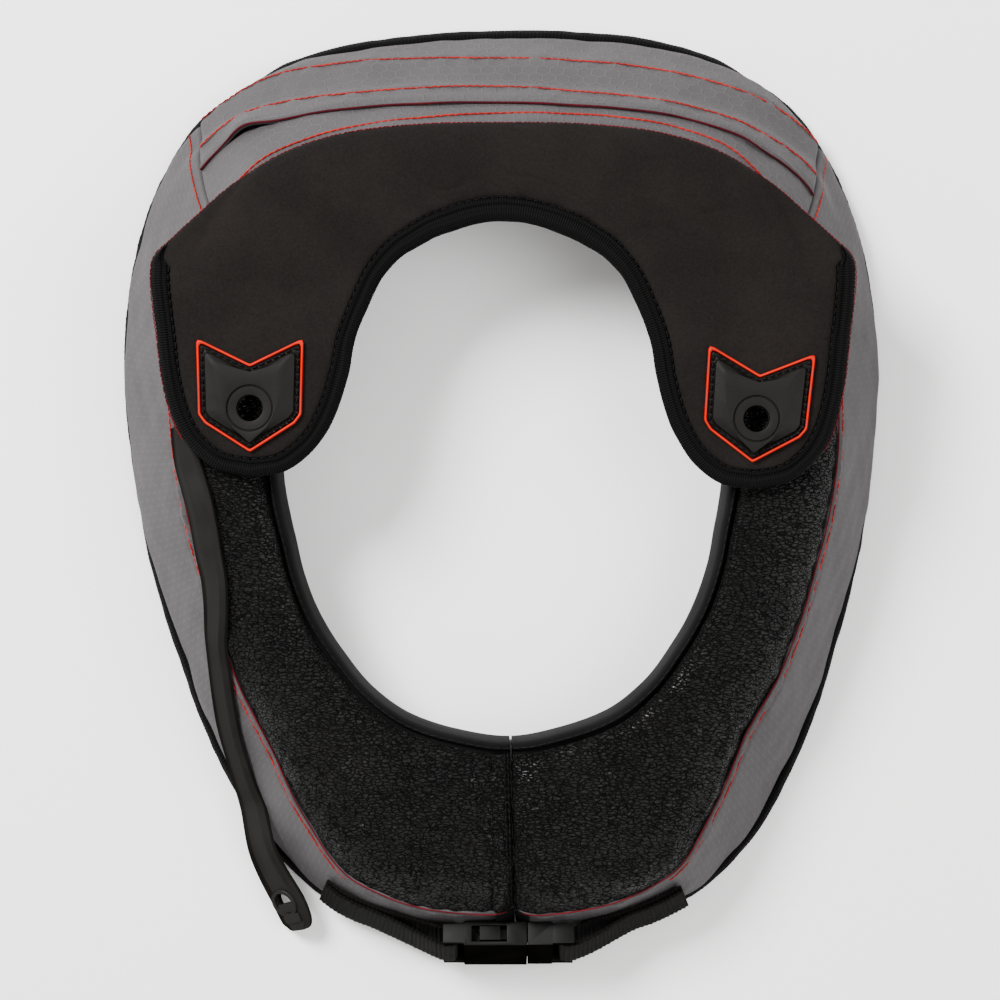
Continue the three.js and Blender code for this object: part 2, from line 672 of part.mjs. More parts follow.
const nodes = tetherTable.map(({ angle, place, wide }) => {
  const turn = 360 - ringTurn - angle;
  const lift = 0.5 + 1.1 * ease(0.9, 1.05, place);
  const p = offset(turn, place, lift + strapThick / 2);
  const far = offset(turn, place, lift + strapThick / 2 + 1);
  const at = new THREE.Vector3(...spot(turn, p, place));
  const up = new THREE.Vector3(...spot(turn, far, place)).sub(at).normalize();
  return { at, up, wide: wide * strapWide };
});
tetherTabTable.forEach(({ angle, reach, high, roll, wide }) => {
  const at = new THREE.Vector3(...spot(360 - ringTurn - angle, [reach * halfWidth, high * backHeight]));
  const up = new THREE.Vector3(-0.8 * Math.sin(radians(roll)), -0.6 * Math.sin(radians(roll)), Math.cos(radians(roll)));
  nodes.push({ at, up, wide: wide * strapWide });
});
const strapRows = nodes.map((node, i) => {
  const ahead = nodes[Math.min(nodes.length - 1, i + 1)].at.clone();
  const way = ahead.sub(nodes[Math.max(0, i - 1)].at).normalize();
  const across = new THREE.Vector3().crossVectors(way, node.up).normalize();
  const up = new THREE.Vector3().crossVectors(across, way).normalize();
  return strapShape.map(([s, h]) => {
    const p = node.at.clone().addScaledVector(across, s * node.wide).addScaledVector(up, h * strapThick);
    return [p.x, p.y, p.z];
  });
});
const eyeNode = nodes[nodes.length - 3];
const eyeDrum = new THREE.CylinderGeometry(tetherEye, tetherEye, 24, 20);
eyeDrum.applyQuaternion(new THREE.Quaternion().setFromUnitVectors(new THREE.Vector3(0, 1, 0), eyeNode.up));
eyeDrum.translate(eyeNode.at.x, eyeNode.at.y, eyeNode.at.z);
add('tether_strap', fromManifold(toManifold(loft(strapRows)).subtract(toManifold(eyeDrum))), 'rubber');

// Webbing: two layers that lie on the front wall and part round the buckle's end bar.
function webbing(side) {
  const endX = buckleX + side * buckleHalf;
  const barIn = endX - side * barWide;
  const eyeLong = buckleHalf / 2;
  const wallAt = (angle, out) => {
    const turn = (side > 0 ? angle : 360 - angle) - ringTurn;
    const top = skin(turn, 1)[1];
    const p = skin(turn, 1 + 1 - buckleZ / top);
    const s = spot(turn, [p[0] + clearance + 0.7 + out, 0]);
    return [s[0], s[1]];
  };
  const barY = buckleY - buckleThick / 2 * Math.cos(lean);
  const back = barY + 2.3;
  const front = barY - 2.3;
  const outer = [
    ...[22.2, 20, 17.5, 15].map((a) => wallAt(a, 2 * webThick + 0.2)),
    [barIn + side * eyeLong, mix(front - webThick, wallAt(12, 2 * webThick)[1], 0.42)],
    [endX, front - webThick],
    [barIn - side * 0.3, front - webThick],
    [barIn - side * (0.3 + webThick), front - 0.2],
    [barIn - side * (0.3 + webThick), back + 0.2],
    [barIn - side * 0.3, back + webThick],
    [endX, back + webThick],
    ...[11, 13, 15, 17.5, 20, 22.2].map((a) => wallAt(a, 0)),
  ];
  const eye = [
    [barIn - side * 0.3, front],
    [endX, front],
    [barIn + side * eyeLong, mix(front - webThick, wallAt(12, 2 * webThick)[1], 0.42) + webThick],
    [wallAt(14, webThick)[0], wallAt(14, webThick)[1] - 0.15],
    wallAt(13, webThick),
    wallAt(11, webThick),
    [endX, back],
    [barIn - side * 0.3, back],
  ];
  const level = (p, up) => {
    const out = new THREE.Vector2(p[0], p[1] - centreY).normalize();
    const near = 1 - ease(1.07 * buckleHalf, 1.9 * buckleHalf, Math.abs(p[0] - buckleX));
    const way = [mix(out.x, 0, near), mix(out.y, -1, near)];
    const shift = -up * webWide / 2 * Math.sin(lean);
    const z = buckleZ + near * (buckleY - p[1]) * Math.tan(lean) + up * webWide / 2 * Math.cos(lean);
    return [p[0] + way[0] * shift, p[1] + way[1] * shift, z];
  };
  const all = [...outer, ...eye];
  const points = [...all.map((p) => level(p, 1)), ...all.map((p) => level(p, -1))];
  const asVector = (list) => list.map((p) => new THREE.Vector2(p[0], p[1]));
  const cut = THREE.ShapeUtils.triangulateShape(asVector(outer), [asVector(eye)]);
  const area = (i, j, k) => {
    const [a, b, c] = [all[i], all[j], all[k]];
    return (b[0] - a[0]) * (c[1] - a[1]) - (c[0] - a[0]) * (b[1] - a[1]);
  };
  const faces = [];
  cut.forEach(([i, j, k]) => {
    const [m, n] = area(i, j, k) > 0 ? [j, k] : [k, j];
    faces.push([i, m, n], [i + all.length, n + all.length, m + all.length]);
  });
  const walls = (first, count, list, outside) => {
    const turn = THREE.ShapeUtils.area(asVector(list)) > 0;
    for (let i = 0; i < count; i += 1) {
      const a = first + i;
      const b = first + (i + 1) % count;
      const [p, q] = turn === outside ? [a, b] : [b, a];
      faces.push([p, q + all.length, q], [p, p + all.length, q + all.length]);
    }
  };
  walls(0, outer.length, outer, true);
  walls(outer.length, eye.length, eye, false);
  return solid(points, faces);
}
add('webbing_right', webbing(1), 'web');
add('webbing_left', webbing(-1), 'web');

// Buckle in its own frame: length along X, back face at y 0, front face towards -Y, then leaned.
const halfTall = buckleWide / 2;
const arm = 2.4;
const slot = 4.4;
const joinX = 0.287 * buckleHalf;
const windowFrom = -0.554 * buckleHalf;
const windowTo = -0.025 * buckleHalf;
function endFrame(from, to, barFrom, barTo) {
  const frame = box(from, to, -buckleThick + 0.8, -0.8, halfTall - arm, halfTall)
    .add(box(from, to, -buckleThick + 0.8, -0.8, -halfTall, -halfTall + arm));
  return frame.add(box(barFrom, barTo, -buckleThick / 2 - 2, -buckleThick / 2 + 2, -halfTall + 0.5, halfTall - 0.5));
}
const socketEnd = -buckleHalf + barWide + slot;
let socket = box(socketEnd, joinX, -buckleThick, 0, -halfTall, halfTall);
[1, -1].forEach((side) => {
  const a = side > 0 ? halfTall - 4 : -halfTall - 1;
  const b = side > 0 ? halfTall + 1 : -halfTall + 4;
  socket = socket.subtract(box(windowFrom, windowTo, -buckleThick + 1.6, -1.6, a, b));
  const c = side > 0 ? halfTall - 5.6 : -halfTall + 1.6;
  socket = socket.subtract(box(windowTo - 7.4, joinX + 1, -buckleThick + 2.4, -2.4, c, c + 4));
});
socket = socket.add(endFrame(-buckleHalf, socketEnd + 0.01, -buckleHalf, -buckleHalf + barWide));
const plugEnd = buckleHalf - barWide - slot;
let plug = box(joinX + clearance, plugEnd, -buckleThick + 0.3, -0.3, -halfTall + 0.4, halfTall - 0.4);
[1, -1].forEach((side) => {
  const c = side > 0 ? halfTall - 5.2 : -halfTall + 2;
  plug = plug.add(box(windowTo - 6.6, joinX + 1, -buckleThick + 2.8, -2.8, c, c + 3.2));
  const d = side > 0 ? [halfTall - 3.6, halfTall + 0.3] : [-halfTall - 0.3, -halfTall + 3.6];
  plug = plug.add(box(windowTo - 10, windowTo - 2.4, -buckleThick + 2, -2, d[0], d[1]));
});
plug = plug.add(endFrame(plugEnd - 0.01, buckleHalf, buckleHalf - barWide, buckleHalf));
[['buckle_socket', socket], ['buckle_plug', plug]].forEach(([name, body]) => {
  const mesh = add(name, fromManifold(body), 'plastic');
  mesh.rotation.x = -lean;
  mesh.position.set(buckleX, buckleY, buckleZ);
});

export default brace;
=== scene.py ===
import math

import bmesh
import bpy
import numpy as np
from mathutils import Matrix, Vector


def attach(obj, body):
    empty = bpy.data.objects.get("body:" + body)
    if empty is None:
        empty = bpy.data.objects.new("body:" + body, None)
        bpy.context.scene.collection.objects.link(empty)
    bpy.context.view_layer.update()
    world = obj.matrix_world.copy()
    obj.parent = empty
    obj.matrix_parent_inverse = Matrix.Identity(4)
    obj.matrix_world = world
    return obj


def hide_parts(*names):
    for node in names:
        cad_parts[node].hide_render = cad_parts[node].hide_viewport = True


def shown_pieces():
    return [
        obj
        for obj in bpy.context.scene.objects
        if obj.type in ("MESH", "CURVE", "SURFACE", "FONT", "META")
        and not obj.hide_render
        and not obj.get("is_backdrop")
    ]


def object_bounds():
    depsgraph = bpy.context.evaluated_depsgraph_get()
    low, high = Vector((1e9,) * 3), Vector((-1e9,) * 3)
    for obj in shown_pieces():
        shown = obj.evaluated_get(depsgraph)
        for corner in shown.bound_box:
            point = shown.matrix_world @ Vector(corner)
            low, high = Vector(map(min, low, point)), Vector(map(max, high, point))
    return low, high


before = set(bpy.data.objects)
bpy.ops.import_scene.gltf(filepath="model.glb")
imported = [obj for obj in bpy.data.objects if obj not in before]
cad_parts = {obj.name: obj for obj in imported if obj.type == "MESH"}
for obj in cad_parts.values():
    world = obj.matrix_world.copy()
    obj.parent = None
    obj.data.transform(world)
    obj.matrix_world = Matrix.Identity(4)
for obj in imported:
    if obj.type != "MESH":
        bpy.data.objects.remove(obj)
cadLow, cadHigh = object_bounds()
print("frame loaded")

mm = 0.001  # the shapes below are worked out in millimetres

# The ring's own sizes, as the solids have them
ring = {
    "halfWidth": 141.0, "centreY": 17.4, "backHeight": 61.0, "backReach": 178.0,
    "cover": 1.6, "crownDrop": 7.0, "bandWidth": 3.5, "wallBulge": 1.5,
    "tapeHigh": 4.7, "tapeThick": 2.0, "endGap": 0.7, "endReach": 9.0, "endRound": 3.5,
    "leftSeamIn": 4.0, "crossRight": 124.4, "crossLeft": 130.4, "crossSlant": 9.7, "crossGap": .26,
    "turn": 1.5, "foldDeep": 2.4, "pocketGap": 1.1, "pocketProud": .9, "tapeTuck": 2.2,
    "sideClear": 1.4, "backClear": 2.6, "leanSpread": 26, "leatherTail": .78,
}
ringRows = np.array([  # angle from the front, then inner edge, seam and foot as shares of halfWidth
    (0, .766, 1.22, 1.291), (10, .757, 1.222, 1.309), (20, .749, 1.199, 1.305), (30, .724, 1.094, 1.252),
    (40, .687, .987, 1.165), (50, .657, .937, 1.089), (60, .626, .897, 1.032), (70, .601, .872, 1.008),
    (80, .593, .868, 1.006), (90, .591, .875, 1.016), (100, .593, .889, 1.046), (110, .601, .911, 1.088),
    (120, .612, .94, 1.14), (130, .623, .972, 1.191), (140, .631, .982, 1.224), (150, .636, .95, 1.203),
    (160, .639, .909, 1.174), (170, .642, .88, 1.144), (180, .642, .87, 1.133)])
rightSeamRows = np.array([(0, .005), (12, .004), (19, .001), (27, -.013), (34, -.016), (50, -.005), (75, 0)])
heightRows = np.array([  # place along Y as a share of backReach, height as a share of backHeight
    (-1, .705), (-.67, .697), (-.34, .721), (-.08, .8), (.02, .836), (.43, .836),
    (.5, .856), (.6, .905), (.72, .962), (.84, .993), (1, 1)])
crownRows = np.array([  # place across the top, drop as a share of crownDrop
    (0, .72), (.1, .32), (.28, .05), (.48, 0), (.68, .1), (.84, .36), (.93, .64), (1, 1)])
foldRows = np.array([  # place down the back wall, how far it stands out as a share of foldDeep
    (0, 0), (.1, .35), (.3, .3), (.45, -1), (.62, .1), (.8, -.2), (1, 0)])
seamRows = np.array([  # degrees from the middle of the back, then hem, upper and lower seam down the wall
    (-57, .348, .518, .84), (-48, .239, .4, .754), (-42, .142, .304, .687), (-34, .084, .23, .616),
    (-18, .05, .185, .556), (0, .073, .235, .58), (18, .128, .287, .682), (26, .18, .355, .739),
    (34, .255, .458, .804), (42, .36, .56, .847), (51, .392, .585, .868)])


def curveThrough(rows, at, col=1):  # smooth curve that never passes beyond the table's rows
    keys, values = rows[:, 0], rows[:, col]
    at = np.clip(at, keys[0], keys[-1])
    step = np.diff(keys)
    pitch = np.diff(values) / step
    both = pitch[:-1] * pitch[1:]
    slope = np.zeros(len(keys))
    slope[1:-1] = np.where(both > 0, 2 * both / np.where(both > 0, pitch[:-1] + pitch[1:], 1), 0)
    i = np.clip(np.searchsorted(keys, at, side="left") - 1, 0, len(keys) - 2)
    t = (at - keys[i]) / step[i]
    before = (1 + 2 * t) * (1 - t) ** 2 * values[i] + t * (1 - t) ** 2 * step[i] * slope[i]
    after = t * t * (3 - 2 * t) * values[i + 1] + t * t * (t - 1) * step[i] * slope[i + 1]
    return before + after


def ease(start, end, at):
    t = np.clip((at - start) / (end - start), 0, 1)
    return t * t * (3 - 2 * t)


def mix(a, b, t):
    return a + (b - a) * t


def bell(at, middle, wide):
    return np.exp(-((at - middle) / wide) ** 2)


def catmull(a, b, c, d, t):
    return .5 * (2 * b + (c - a) * t + (2 * a - 5 * b + 4 * c - d) * t * t + (3 * b - a - 3 * c + d) * t ** 3)


def wavy(u, length, *bends):  # 1 high, its length swinging a little along the way
    return np.sin(2 * math.pi * (u / length + sum(high * np.sin(u / long) for high, long in bends)))


def runLengths(points, axis):  # distance run from the first point of a path
    steps = np.linalg.norm(np.diff(points, axis=axis), axis=-1)
    first = np.zeros([1 if k == axis else n for k, n in enumerate(steps.shape)])
    return np.concatenate([first, np.cumsum(steps, axis)], axis)


def unit(vectors):
    return vectors / np.maximum(np.linalg.norm(vectors, axis=-1, keepdims=True), 1e-9)


def waves(points, size, seed, count=28, along=None):  # soft random waves, about 1 high
    random = np.random.default_rng(seed)
    ways = random.normal(size=(count, 3))
    ways = unit(ways if along is None else ways * .35 + np.array(along, float))
    rates = 2 * math.pi / size * random.uniform(.6, 1.5, count)
    starts = random.uniform(0, 2 * math.pi, count)
    total = np.zeros(points.shape[:-1])
    for way, rate, start in zip(ways, rates, starts):
        total += np.sin(points @ way * rate + start)
    return total / math.sqrt(count / 2) * .7


def halfAngle(angle):  # degrees from the front, the same on both sides
    return np.where(angle > 180, 360 - angle, angle)


def crossOf(angle):
    return np.where(np.asarray(angle) > 180, ring["crossLeft"], ring["crossRight"])


def ringAt(angle):
    angle = np.asarray(angle, float)
    a, onLeft = halfAngle(angle), angle > 180
    wide = ring["halfWidth"]
    shift = np.where(onLeft, -ring["leftSeamIn"] * ease(35, 70, a) * (1 - ease(85, 125, a)),
                     wide * curveThrough(rightSeamRows, a))
    cross = crossOf(angle)
    lean = ring["crossSlant"] * (1 - np.minimum(1, np.abs(a - cross) / ring["leanSpread"]))
    inner, seam = wide * curveThrough(ringRows, a, 1), wide * curveThrough(ringRows, a, 2) + shift
    foot = wide * curveThrough(ringRows, a + lean, 3)
    return inner, seam, foot, ease(cross - 10, cross + 10, a), np.where(onLeft, lean, -lean)


def topHeight(y):
    return ring["backHeight"] * curveThrough(heightRows, y / ring["backReach"])


def endShare(angle, reach):
    x = np.abs(reach * np.sin(np.radians(angle)))
    near = (np.cos(np.radians(angle)) > 0) & (x < ring["endReach"])
    return np.where(near, (1 - np.minimum(x, ring["endReach"]) / ring["endReach"]) ** 2, 0)


def foldPlace(angle, down):  # moves a place down the wall so that the folds follow the hem and seams
    away = angle - 180
    marks = [0 * away + 0 * down] + [curveThrough(seamRows, away, k) + 0 * down for k in (1, 2, 3)]
    marks.append(marks[0] + 1)
    goals = (0, .1, .3, .62, 1)
    placed = marks[0] + goals[0]
    for k in range(4):
        t = (down - marks[k]) / (marks[k + 1] - marks[k])
        placed = np.where(t > 0, mix(goals[k], goals[k + 1], t), placed)
    return placed


def skin(angle, place):  # reach and height of the outer skin: 0 to 1 over the top, 1 to 2 down the wall
    angle, place = np.broadcast_arrays(np.asarray(angle, float), np.asarray(place, float))
    inner, seam, foot, back, _ = ringAt(angle)
    start = inner + ring["bandWidth"]
    t = np.minimum(place, 1)
    tuck = ring["endRound"] * .6 * endShare(angle, seam)
    reach = mix(start, seam - tuck * ease(.6, 1, t), t)
    y = ring["centreY"] - reach * np.cos(np.radians(angle))
    high = topHeight(y) - ring["crownDrop"] * curveThrough(crownRows, t)
    high -= ring["endRound"] * endShare(angle, reach)
    down = np.maximum(place - 1, 0)
    fold = back * ring["foldDeep"] * curveThrough(foldRows, foldPlace(angle, down))
    wallReach = mix(reach, foot - tuck, down) + ring["wallBulge"] * np.sin(math.pi * down) + fold
    onWall = place > 1
    return np.where(onWall, wallReach, reach), np.where(onWall, high * (1 - down), high)


def offset(angle, place, distance):
    step = .004
    place = np.asarray(place, float)
    r0, z0 = skin(angle, np.where(place > 1, np.maximum(1, place - step), place - step))
    r1, z1 = skin(angle, np.where(place < 1, np.minimum(1, place + step), place + step))
    r, z = skin(angle, place)
    long = np.hypot(r1 - r0, z1 - z0)
    return r - (z1 - z0) / long * distance, z + (r1 - r0) / long * distance


def turnRing(x, y, degrees):  # the ring lies a little turned under the yoke
    a, dy = math.radians(degrees), y - ring["centreY"]
    return x * math.cos(a) - dy * math.sin(a), ring["centreY"] + x * math.sin(a) + dy * math.cos(a)


def spot(angle, reach, high, place=1.0):  # a point of the ring in space
    given = [np.asarray(v, float) for v in (angle, reach, high, place)]
    angle, reach, high, place = np.broadcast_arrays(*given)
    turned = np.radians(angle - ringAt(angle)[4] * np.clip(place - 1, 0, 1))
    x = reach * np.sin(turned)
    gap = ring["endGap"] / 2
    x = np.where((np.cos(turned) > 0) & (np.abs(x) < gap), np.where(angle > 180, -gap, gap), x)
    x, y = turnRing(x, ring["centreY"] - reach * np.cos(turned), ring["turn"])
    return np.stack([x, y, high], -1)


def onSkin(angle, place, distance=0.0):
    return spot(angle, *offset(angle, place, distance), place)


def skinNormal(angle, place):
    return unit(onSkin(angle, place, .5) - onSkin(angle, place, -.5))


def raised(points, angle, place, relief):
    return points + skinNormal(angle, place) * relief[..., None]


def hemPlace(angle, col=1):  # place of the pocket panel's hem, or of one of its two seams
    return 1 + curveThrough(seamRows, angle - 180, col)


def wallLong(angle):  # length of the wall's slope
    return np.linalg.norm(onSkin(angle, 1.9) - onSkin(angle, 1.1), axis=-1) / .8


def inBack(angle):
    return (angle > ring["crossRight"]) & (angle < 360 - ring["crossLeft"])


def wallEnd(angle):  # place where the walls stop above the tape
    clear = np.where(inBack(angle), ring["backClear"], ring["sideClear"])
    return 2 - (ring["tapeHigh"] + clear) / skin(angle, 1.0)[1]


def tapeFoot(angle):  # the tape is tucked in under the sides
    a = halfAngle(angle)
    return skin(angle, 2.0)[0] - ring["tapeTuck"] * ease(62, 84, a) * (1 - ease(140, 150, a))


def wallSteps(angle):  # places from the hem of the pocket panel to the wall's end
    hem, end = hemPlace(angle), wallEnd(angle)
    return [mix(hem, end, share) for share in (0, .12, .26, .42, .6, .8, 1)]


def recess(angle, place):  # how far the wall lies back under the pocket panel
    under = inBack(angle) & (place > hemPlace(angle) - .01)
    return np.where(under, ring["cover"] + ring["pocketGap"] - ring["pocketProud"], 0)


def leatherEnd(angle):  # the leather ends further in under the back of the yoke
    cross = crossOf(angle)
    return mix(1, ring["leatherTail"], ease(cross - 12, cross - 1.5, halfAngle(angle)))


# Meshes

def makePiece(name, points, material, uv=None, ring_=False, closed=True, sharp=None):
    # rows of section points become one closed body, with flat ends unless the rows run round
    rows, wide = points.shape[:2]
    i = np.arange(rows if ring_ else rows - 1)[:, None]
    j = np.arange(wide if closed else wide - 1)[None, :]
    a, b = i * wide + j, i * wide + (j + 1) % wide
    c, d = (i + 1) % rows * wide + (j + 1) % wide, (i + 1) % rows * wide + j
    quads = np.stack([a, b, c, d], -1).reshape(-1, 4)
    if uv is None:
        u = runLengths(points.mean(1), 0)
        v = runLengths(np.concatenate([points, points[:, :1]], 1), 1)
        if ring_:
            u = np.append(u, u[-1] + np.linalg.norm(points[0].mean(0) - points[-1].mean(0)))
            v = np.concatenate([v, v[:1]], 0)
        uv = np.stack([np.broadcast_to(u[:, None], v.shape), v], -1)
    corners = np.stack([uv[i, j], uv[i, j + 1], uv[i + 1, j + 1], uv[i + 1, j]], -2).reshape(-1, 4, 2)
    flat = points.reshape(-1, 3)
    if closed:
        p = flat[quads] - flat.mean(0)
        volume = (np.einsum("ij,ij->i", p[:, 0], np.cross(p[:, 1], p[:, 2]))
                  + np.einsum("ij,ij->i", p[:, 0], np.cross(p[:, 2], p[:, 3]))).sum()
        if volume < 0:
            quads, corners = quads[:, ::-1], corners[:, ::-1]
    faces = quads.tolist()
    loops = corners.reshape(-1, 2)
    if closed and not ring_:
        low, high = list(range(wide)), list(range((rows - 1) * wide, rows * wide))
        faces += [low[::-1], high] if volume > 0 else [low, high[::-1]]
        loops = np.concatenate([loops, np.zeros((2 * wide, 2))])
    mesh = bpy.data.meshes.new(name)
    mesh.from_pydata((flat * mm).tolist(), [], faces)
    layer = mesh.uv_layers.new(name="cloth")
    layer.data.foreach_set("uv", (loops * mm).astype(np.float32).ravel())
    mesh.polygons.foreach_set("use_smooth", np.ones(len(mesh.polygons), bool))
    if sharp:
        mesh.set_sharp_from_angle(angle=math.radians(sharp))
    mesh.materials.append(material)
    return link(name, mesh)


def link(name, data):
    made = bpy.data.objects.new(name, data)
    bpy.context.collection.objects.link(made)
    return made


def settle(piece, name):  # the modifiers' result becomes the piece's own mesh
    graph = bpy.context.evaluated_depsgraph_get()
    settled = bpy.data.meshes.new_from_object(piece.evaluated_get(graph))
    piece.modifiers.clear()
    piece.data = settled
    settled.name = name


def cutAway(piece, cutters):
    for cutter in cutters:
        cut = piece.modifiers.new("eye", "BOOLEAN")
        cut.object, cut.operation, cut.solver = cutter, "DIFFERENCE", "EXACT"
    settle(piece, piece.name)
    for cutter in cutters:
        bpy.data.objects.remove(cutter)


def makeTube(name, path, radius, material, sides):
    way = unit(np.gradient(path, axis=0))
    side = unit(np.cross(way, np.array([0, 0, 1.0]) + 0 * way))
    up = np.cross(side, way)
    turn = np.linspace(0, 2 * math.pi, sides, endpoint=False)[:, None]
    points = path[:, None] + radius * (side[:, None] * np.cos(turn) + up[:, None] * np.sin(turn))
    return makePiece(name, points, material)


def finishPiece(piece, slot, *nodes, fill=None):
    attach(piece, "root")
    if nodes:
        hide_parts(*nodes)
    return piece


# Node trees

def feed(tree, socket, value):
    if isinstance(value, bpy.types.NodeSocket):
        tree.links.new(value, socket)
    else:
        socket.default_value = value


def addNode(tree, kind, settings=None, **inputs):  # i0 is the first input, To_Min the one named "To Min"
    made = tree.nodes.new(kind)
    for key, value in (settings or {}).items():
        setattr(made, key, value)
    for key, value in inputs.items():
        numbered = key[0] == "i" and key[1:].isdigit()
        feed(tree, made.inputs[int(key[1:]) if numbered else key.replace("_", " ")], value)
    return made


def sums(tree, operation, *values):
    given = {f"i{k}": value for k, value in enumerate(values)}
    return addNode(tree, "ShaderNodeMath", {"operation": operation}, **given).outputs[0]


def vectors(tree, operation, *values, out=0):
    given = {f"i{k}": value for k, value in enumerate(values)}
    return addNode(tree, "ShaderNodeVectorMath", {"operation": operation}, **given).outputs[out]


def smoothStep(tree, value, low, high, atLow=0.0, atHigh=1.0):
    return addNode(tree, "ShaderNodeMapRange", {"interpolation_type": "SMOOTHSTEP"}, Value=value,
                   From_Min=low, From_Max=high, To_Min=atLow, To_Max=atHigh).outputs[0]


def wave01(tree, turns):  # sine between 0 and 1, by turns
    return sums(tree, "MULTIPLY_ADD", sums(tree, "SINE", sums(tree, "MULTIPLY", turns, 6.2832)), .5, .5)


def newGroup(name, outputs, **sizes):
    tree = bpy.data.node_groups.new(name, "ShaderNodeTree")
    tree.interface.new_socket("Vector", in_out="INPUT", socket_type="NodeSocketVector")
    for label, value in sizes.items():
        tree.interface.new_socket(label, in_out="INPUT", socket_type="NodeSocketFloat").default_value = value
    for label in outputs:
        tree.interface.new_socket(label, in_out="OUTPUT", socket_type="NodeSocketFloat")
    return tree, tree.nodes.new("NodeGroupInput").outputs, tree.nodes.new("NodeGroupOutput").inputs


def noise(tree, place, scale, detail, rough=.5):
    return addNode(tree, "ShaderNodeTexNoise", Vector=place, Scale=scale, Detail=detail,
                   Roughness=rough).outputs["Fac"]


def placeGroup(tree, group, **inputs):
    return addNode(tree, "ShaderNodeGroup", {"node_tree": group}, **inputs).outputs


def makePebbleGroup():  # leather grain: rounded pebbles with creases between them
    tree, given, out = newGroup("pebbleGrain", ["Height", "Crease", "Shade"], Cell=.0016, Broad=.35)
    scale = sums(tree, "DIVIDE", 1.0, given["Cell"])
    bend = addNode(tree, "ShaderNodeTexNoise", Vector=given["Vector"], Scale=420.0, Detail=2.0)
    longer = vectors(tree, "MULTIPLY", given["Vector"], (.5, 1.15, .9))
    moved = vectors(tree, "MULTIPLY_ADD", bend.outputs["Color"], (.0016, .0016, .0016), longer)
    cells = addNode(tree, "ShaderNodeTexVoronoi", {"feature": "DISTANCE_TO_EDGE"}, Vector=moved, Scale=scale)
    crease = smoothStep(tree, cells.outputs["Distance"], .0, .24, 1.0, 0.0)
    small = addNode(tree, "ShaderNodeTexVoronoi", {"feature": "DISTANCE_TO_EDGE"}, Vector=moved,
                    Scale=sums(tree, "MULTIPLY", scale, 2.3))
    fine = smoothStep(tree, small.outputs["Distance"], .0, .16, 1.0, 0.0)
    broad = noise(tree, given["Vector"], 55.0, 3.0)
    high = sums(tree, "SUBTRACT", 1.0, sums(tree, "MULTIPLY", crease, .7))
    high = sums(tree, "SUBTRACT", high, sums(tree, "MULTIPLY", fine, .22))
    high = sums(tree, "ADD", high, sums(tree, "MULTIPLY", broad, given["Broad"]))
    tree.links.new(high, out["Height"])
    tree.links.new(crease, out["Crease"])
    tree.links.new(broad, out["Shade"])
    return tree


def makeHexGroup():  # ripstop cloth: fine weave with raised hexagons, points up the wall
    tree, given, out = newGroup("hexRipstop", ["Height", "Line", "Shade"], Pitch=.0052, Line=.085)
    scaled = vectors(tree, "SCALE", given["Vector"], (0, 0, 0), (0, 0, 0))
    tree.links.new(sums(tree, "DIVIDE", 1.0, given["Pitch"]), scaled.node.inputs["Scale"])
    half = (.5, .8660254, 1.0)
    low = (-.5, -.8660254, -1.0)
    moved = vectors(tree, "WRAP", vectors(tree, "SUBTRACT", scaled, half), half, low)
    still = vectors(tree, "WRAP", scaled, half, low)
    first = vectors(tree, "ABSOLUTE", vectors(tree, "MULTIPLY", moved, (1, 1, 0)))
    second = vectors(tree, "ABSOLUTE", vectors(tree, "MULTIPLY", still, (1, 1, 0)))
    lengths = [vectors(tree, "LENGTH", way, out=1) for way in (first, second)]
    nearer = sums(tree, "LESS_THAN", *lengths)
    pick = addNode(tree, "ShaderNodeMix", {"data_type": "VECTOR"})
    tree.links.new(nearer, pick.inputs["Factor"])
    tree.links.new(second, pick.inputs[4])
    tree.links.new(first, pick.inputs[5])
    cell = pick.outputs[1]
    split = addNode(tree, "ShaderNodeSeparateXYZ", Vector=cell)
    slope = vectors(tree, "DOT_PRODUCT", cell, (.5, .8660254, 0), out=1)
    edge = sums(tree, "SUBTRACT", .5, sums(tree, "MAXIMUM", split.outputs["X"], slope))
    line = smoothStep(tree, edge, sums(tree, "MULTIPLY", given["Line"], .35), given["Line"], 1.0, 0.0)
    threads = addNode(tree, "ShaderNodeTexWave", {"wave_type": "BANDS", "bands_direction": "DIAGONAL"},
                      Vector=scaled, Scale=5.5, Distortion=1.2, Detail=1.0)
    lint = noise(tree, scaled, 9.0, 4.0, .7)
    high = sums(tree, "MULTIPLY_ADD", threads.outputs["Fac"], .25, line)
    tree.links.new(sums(tree, "MULTIPLY_ADD", lint, .3, high), out["Height"])
    tree.links.new(line, out["Line"])
    fluff = sums(tree, "MULTIPLY", lint, .9)
    shade = sums(tree, "MULTIPLY_ADD", threads.outputs["Fac"], .35, fluff)
    tree.links.new(shade, out["Shade"])
    return tree


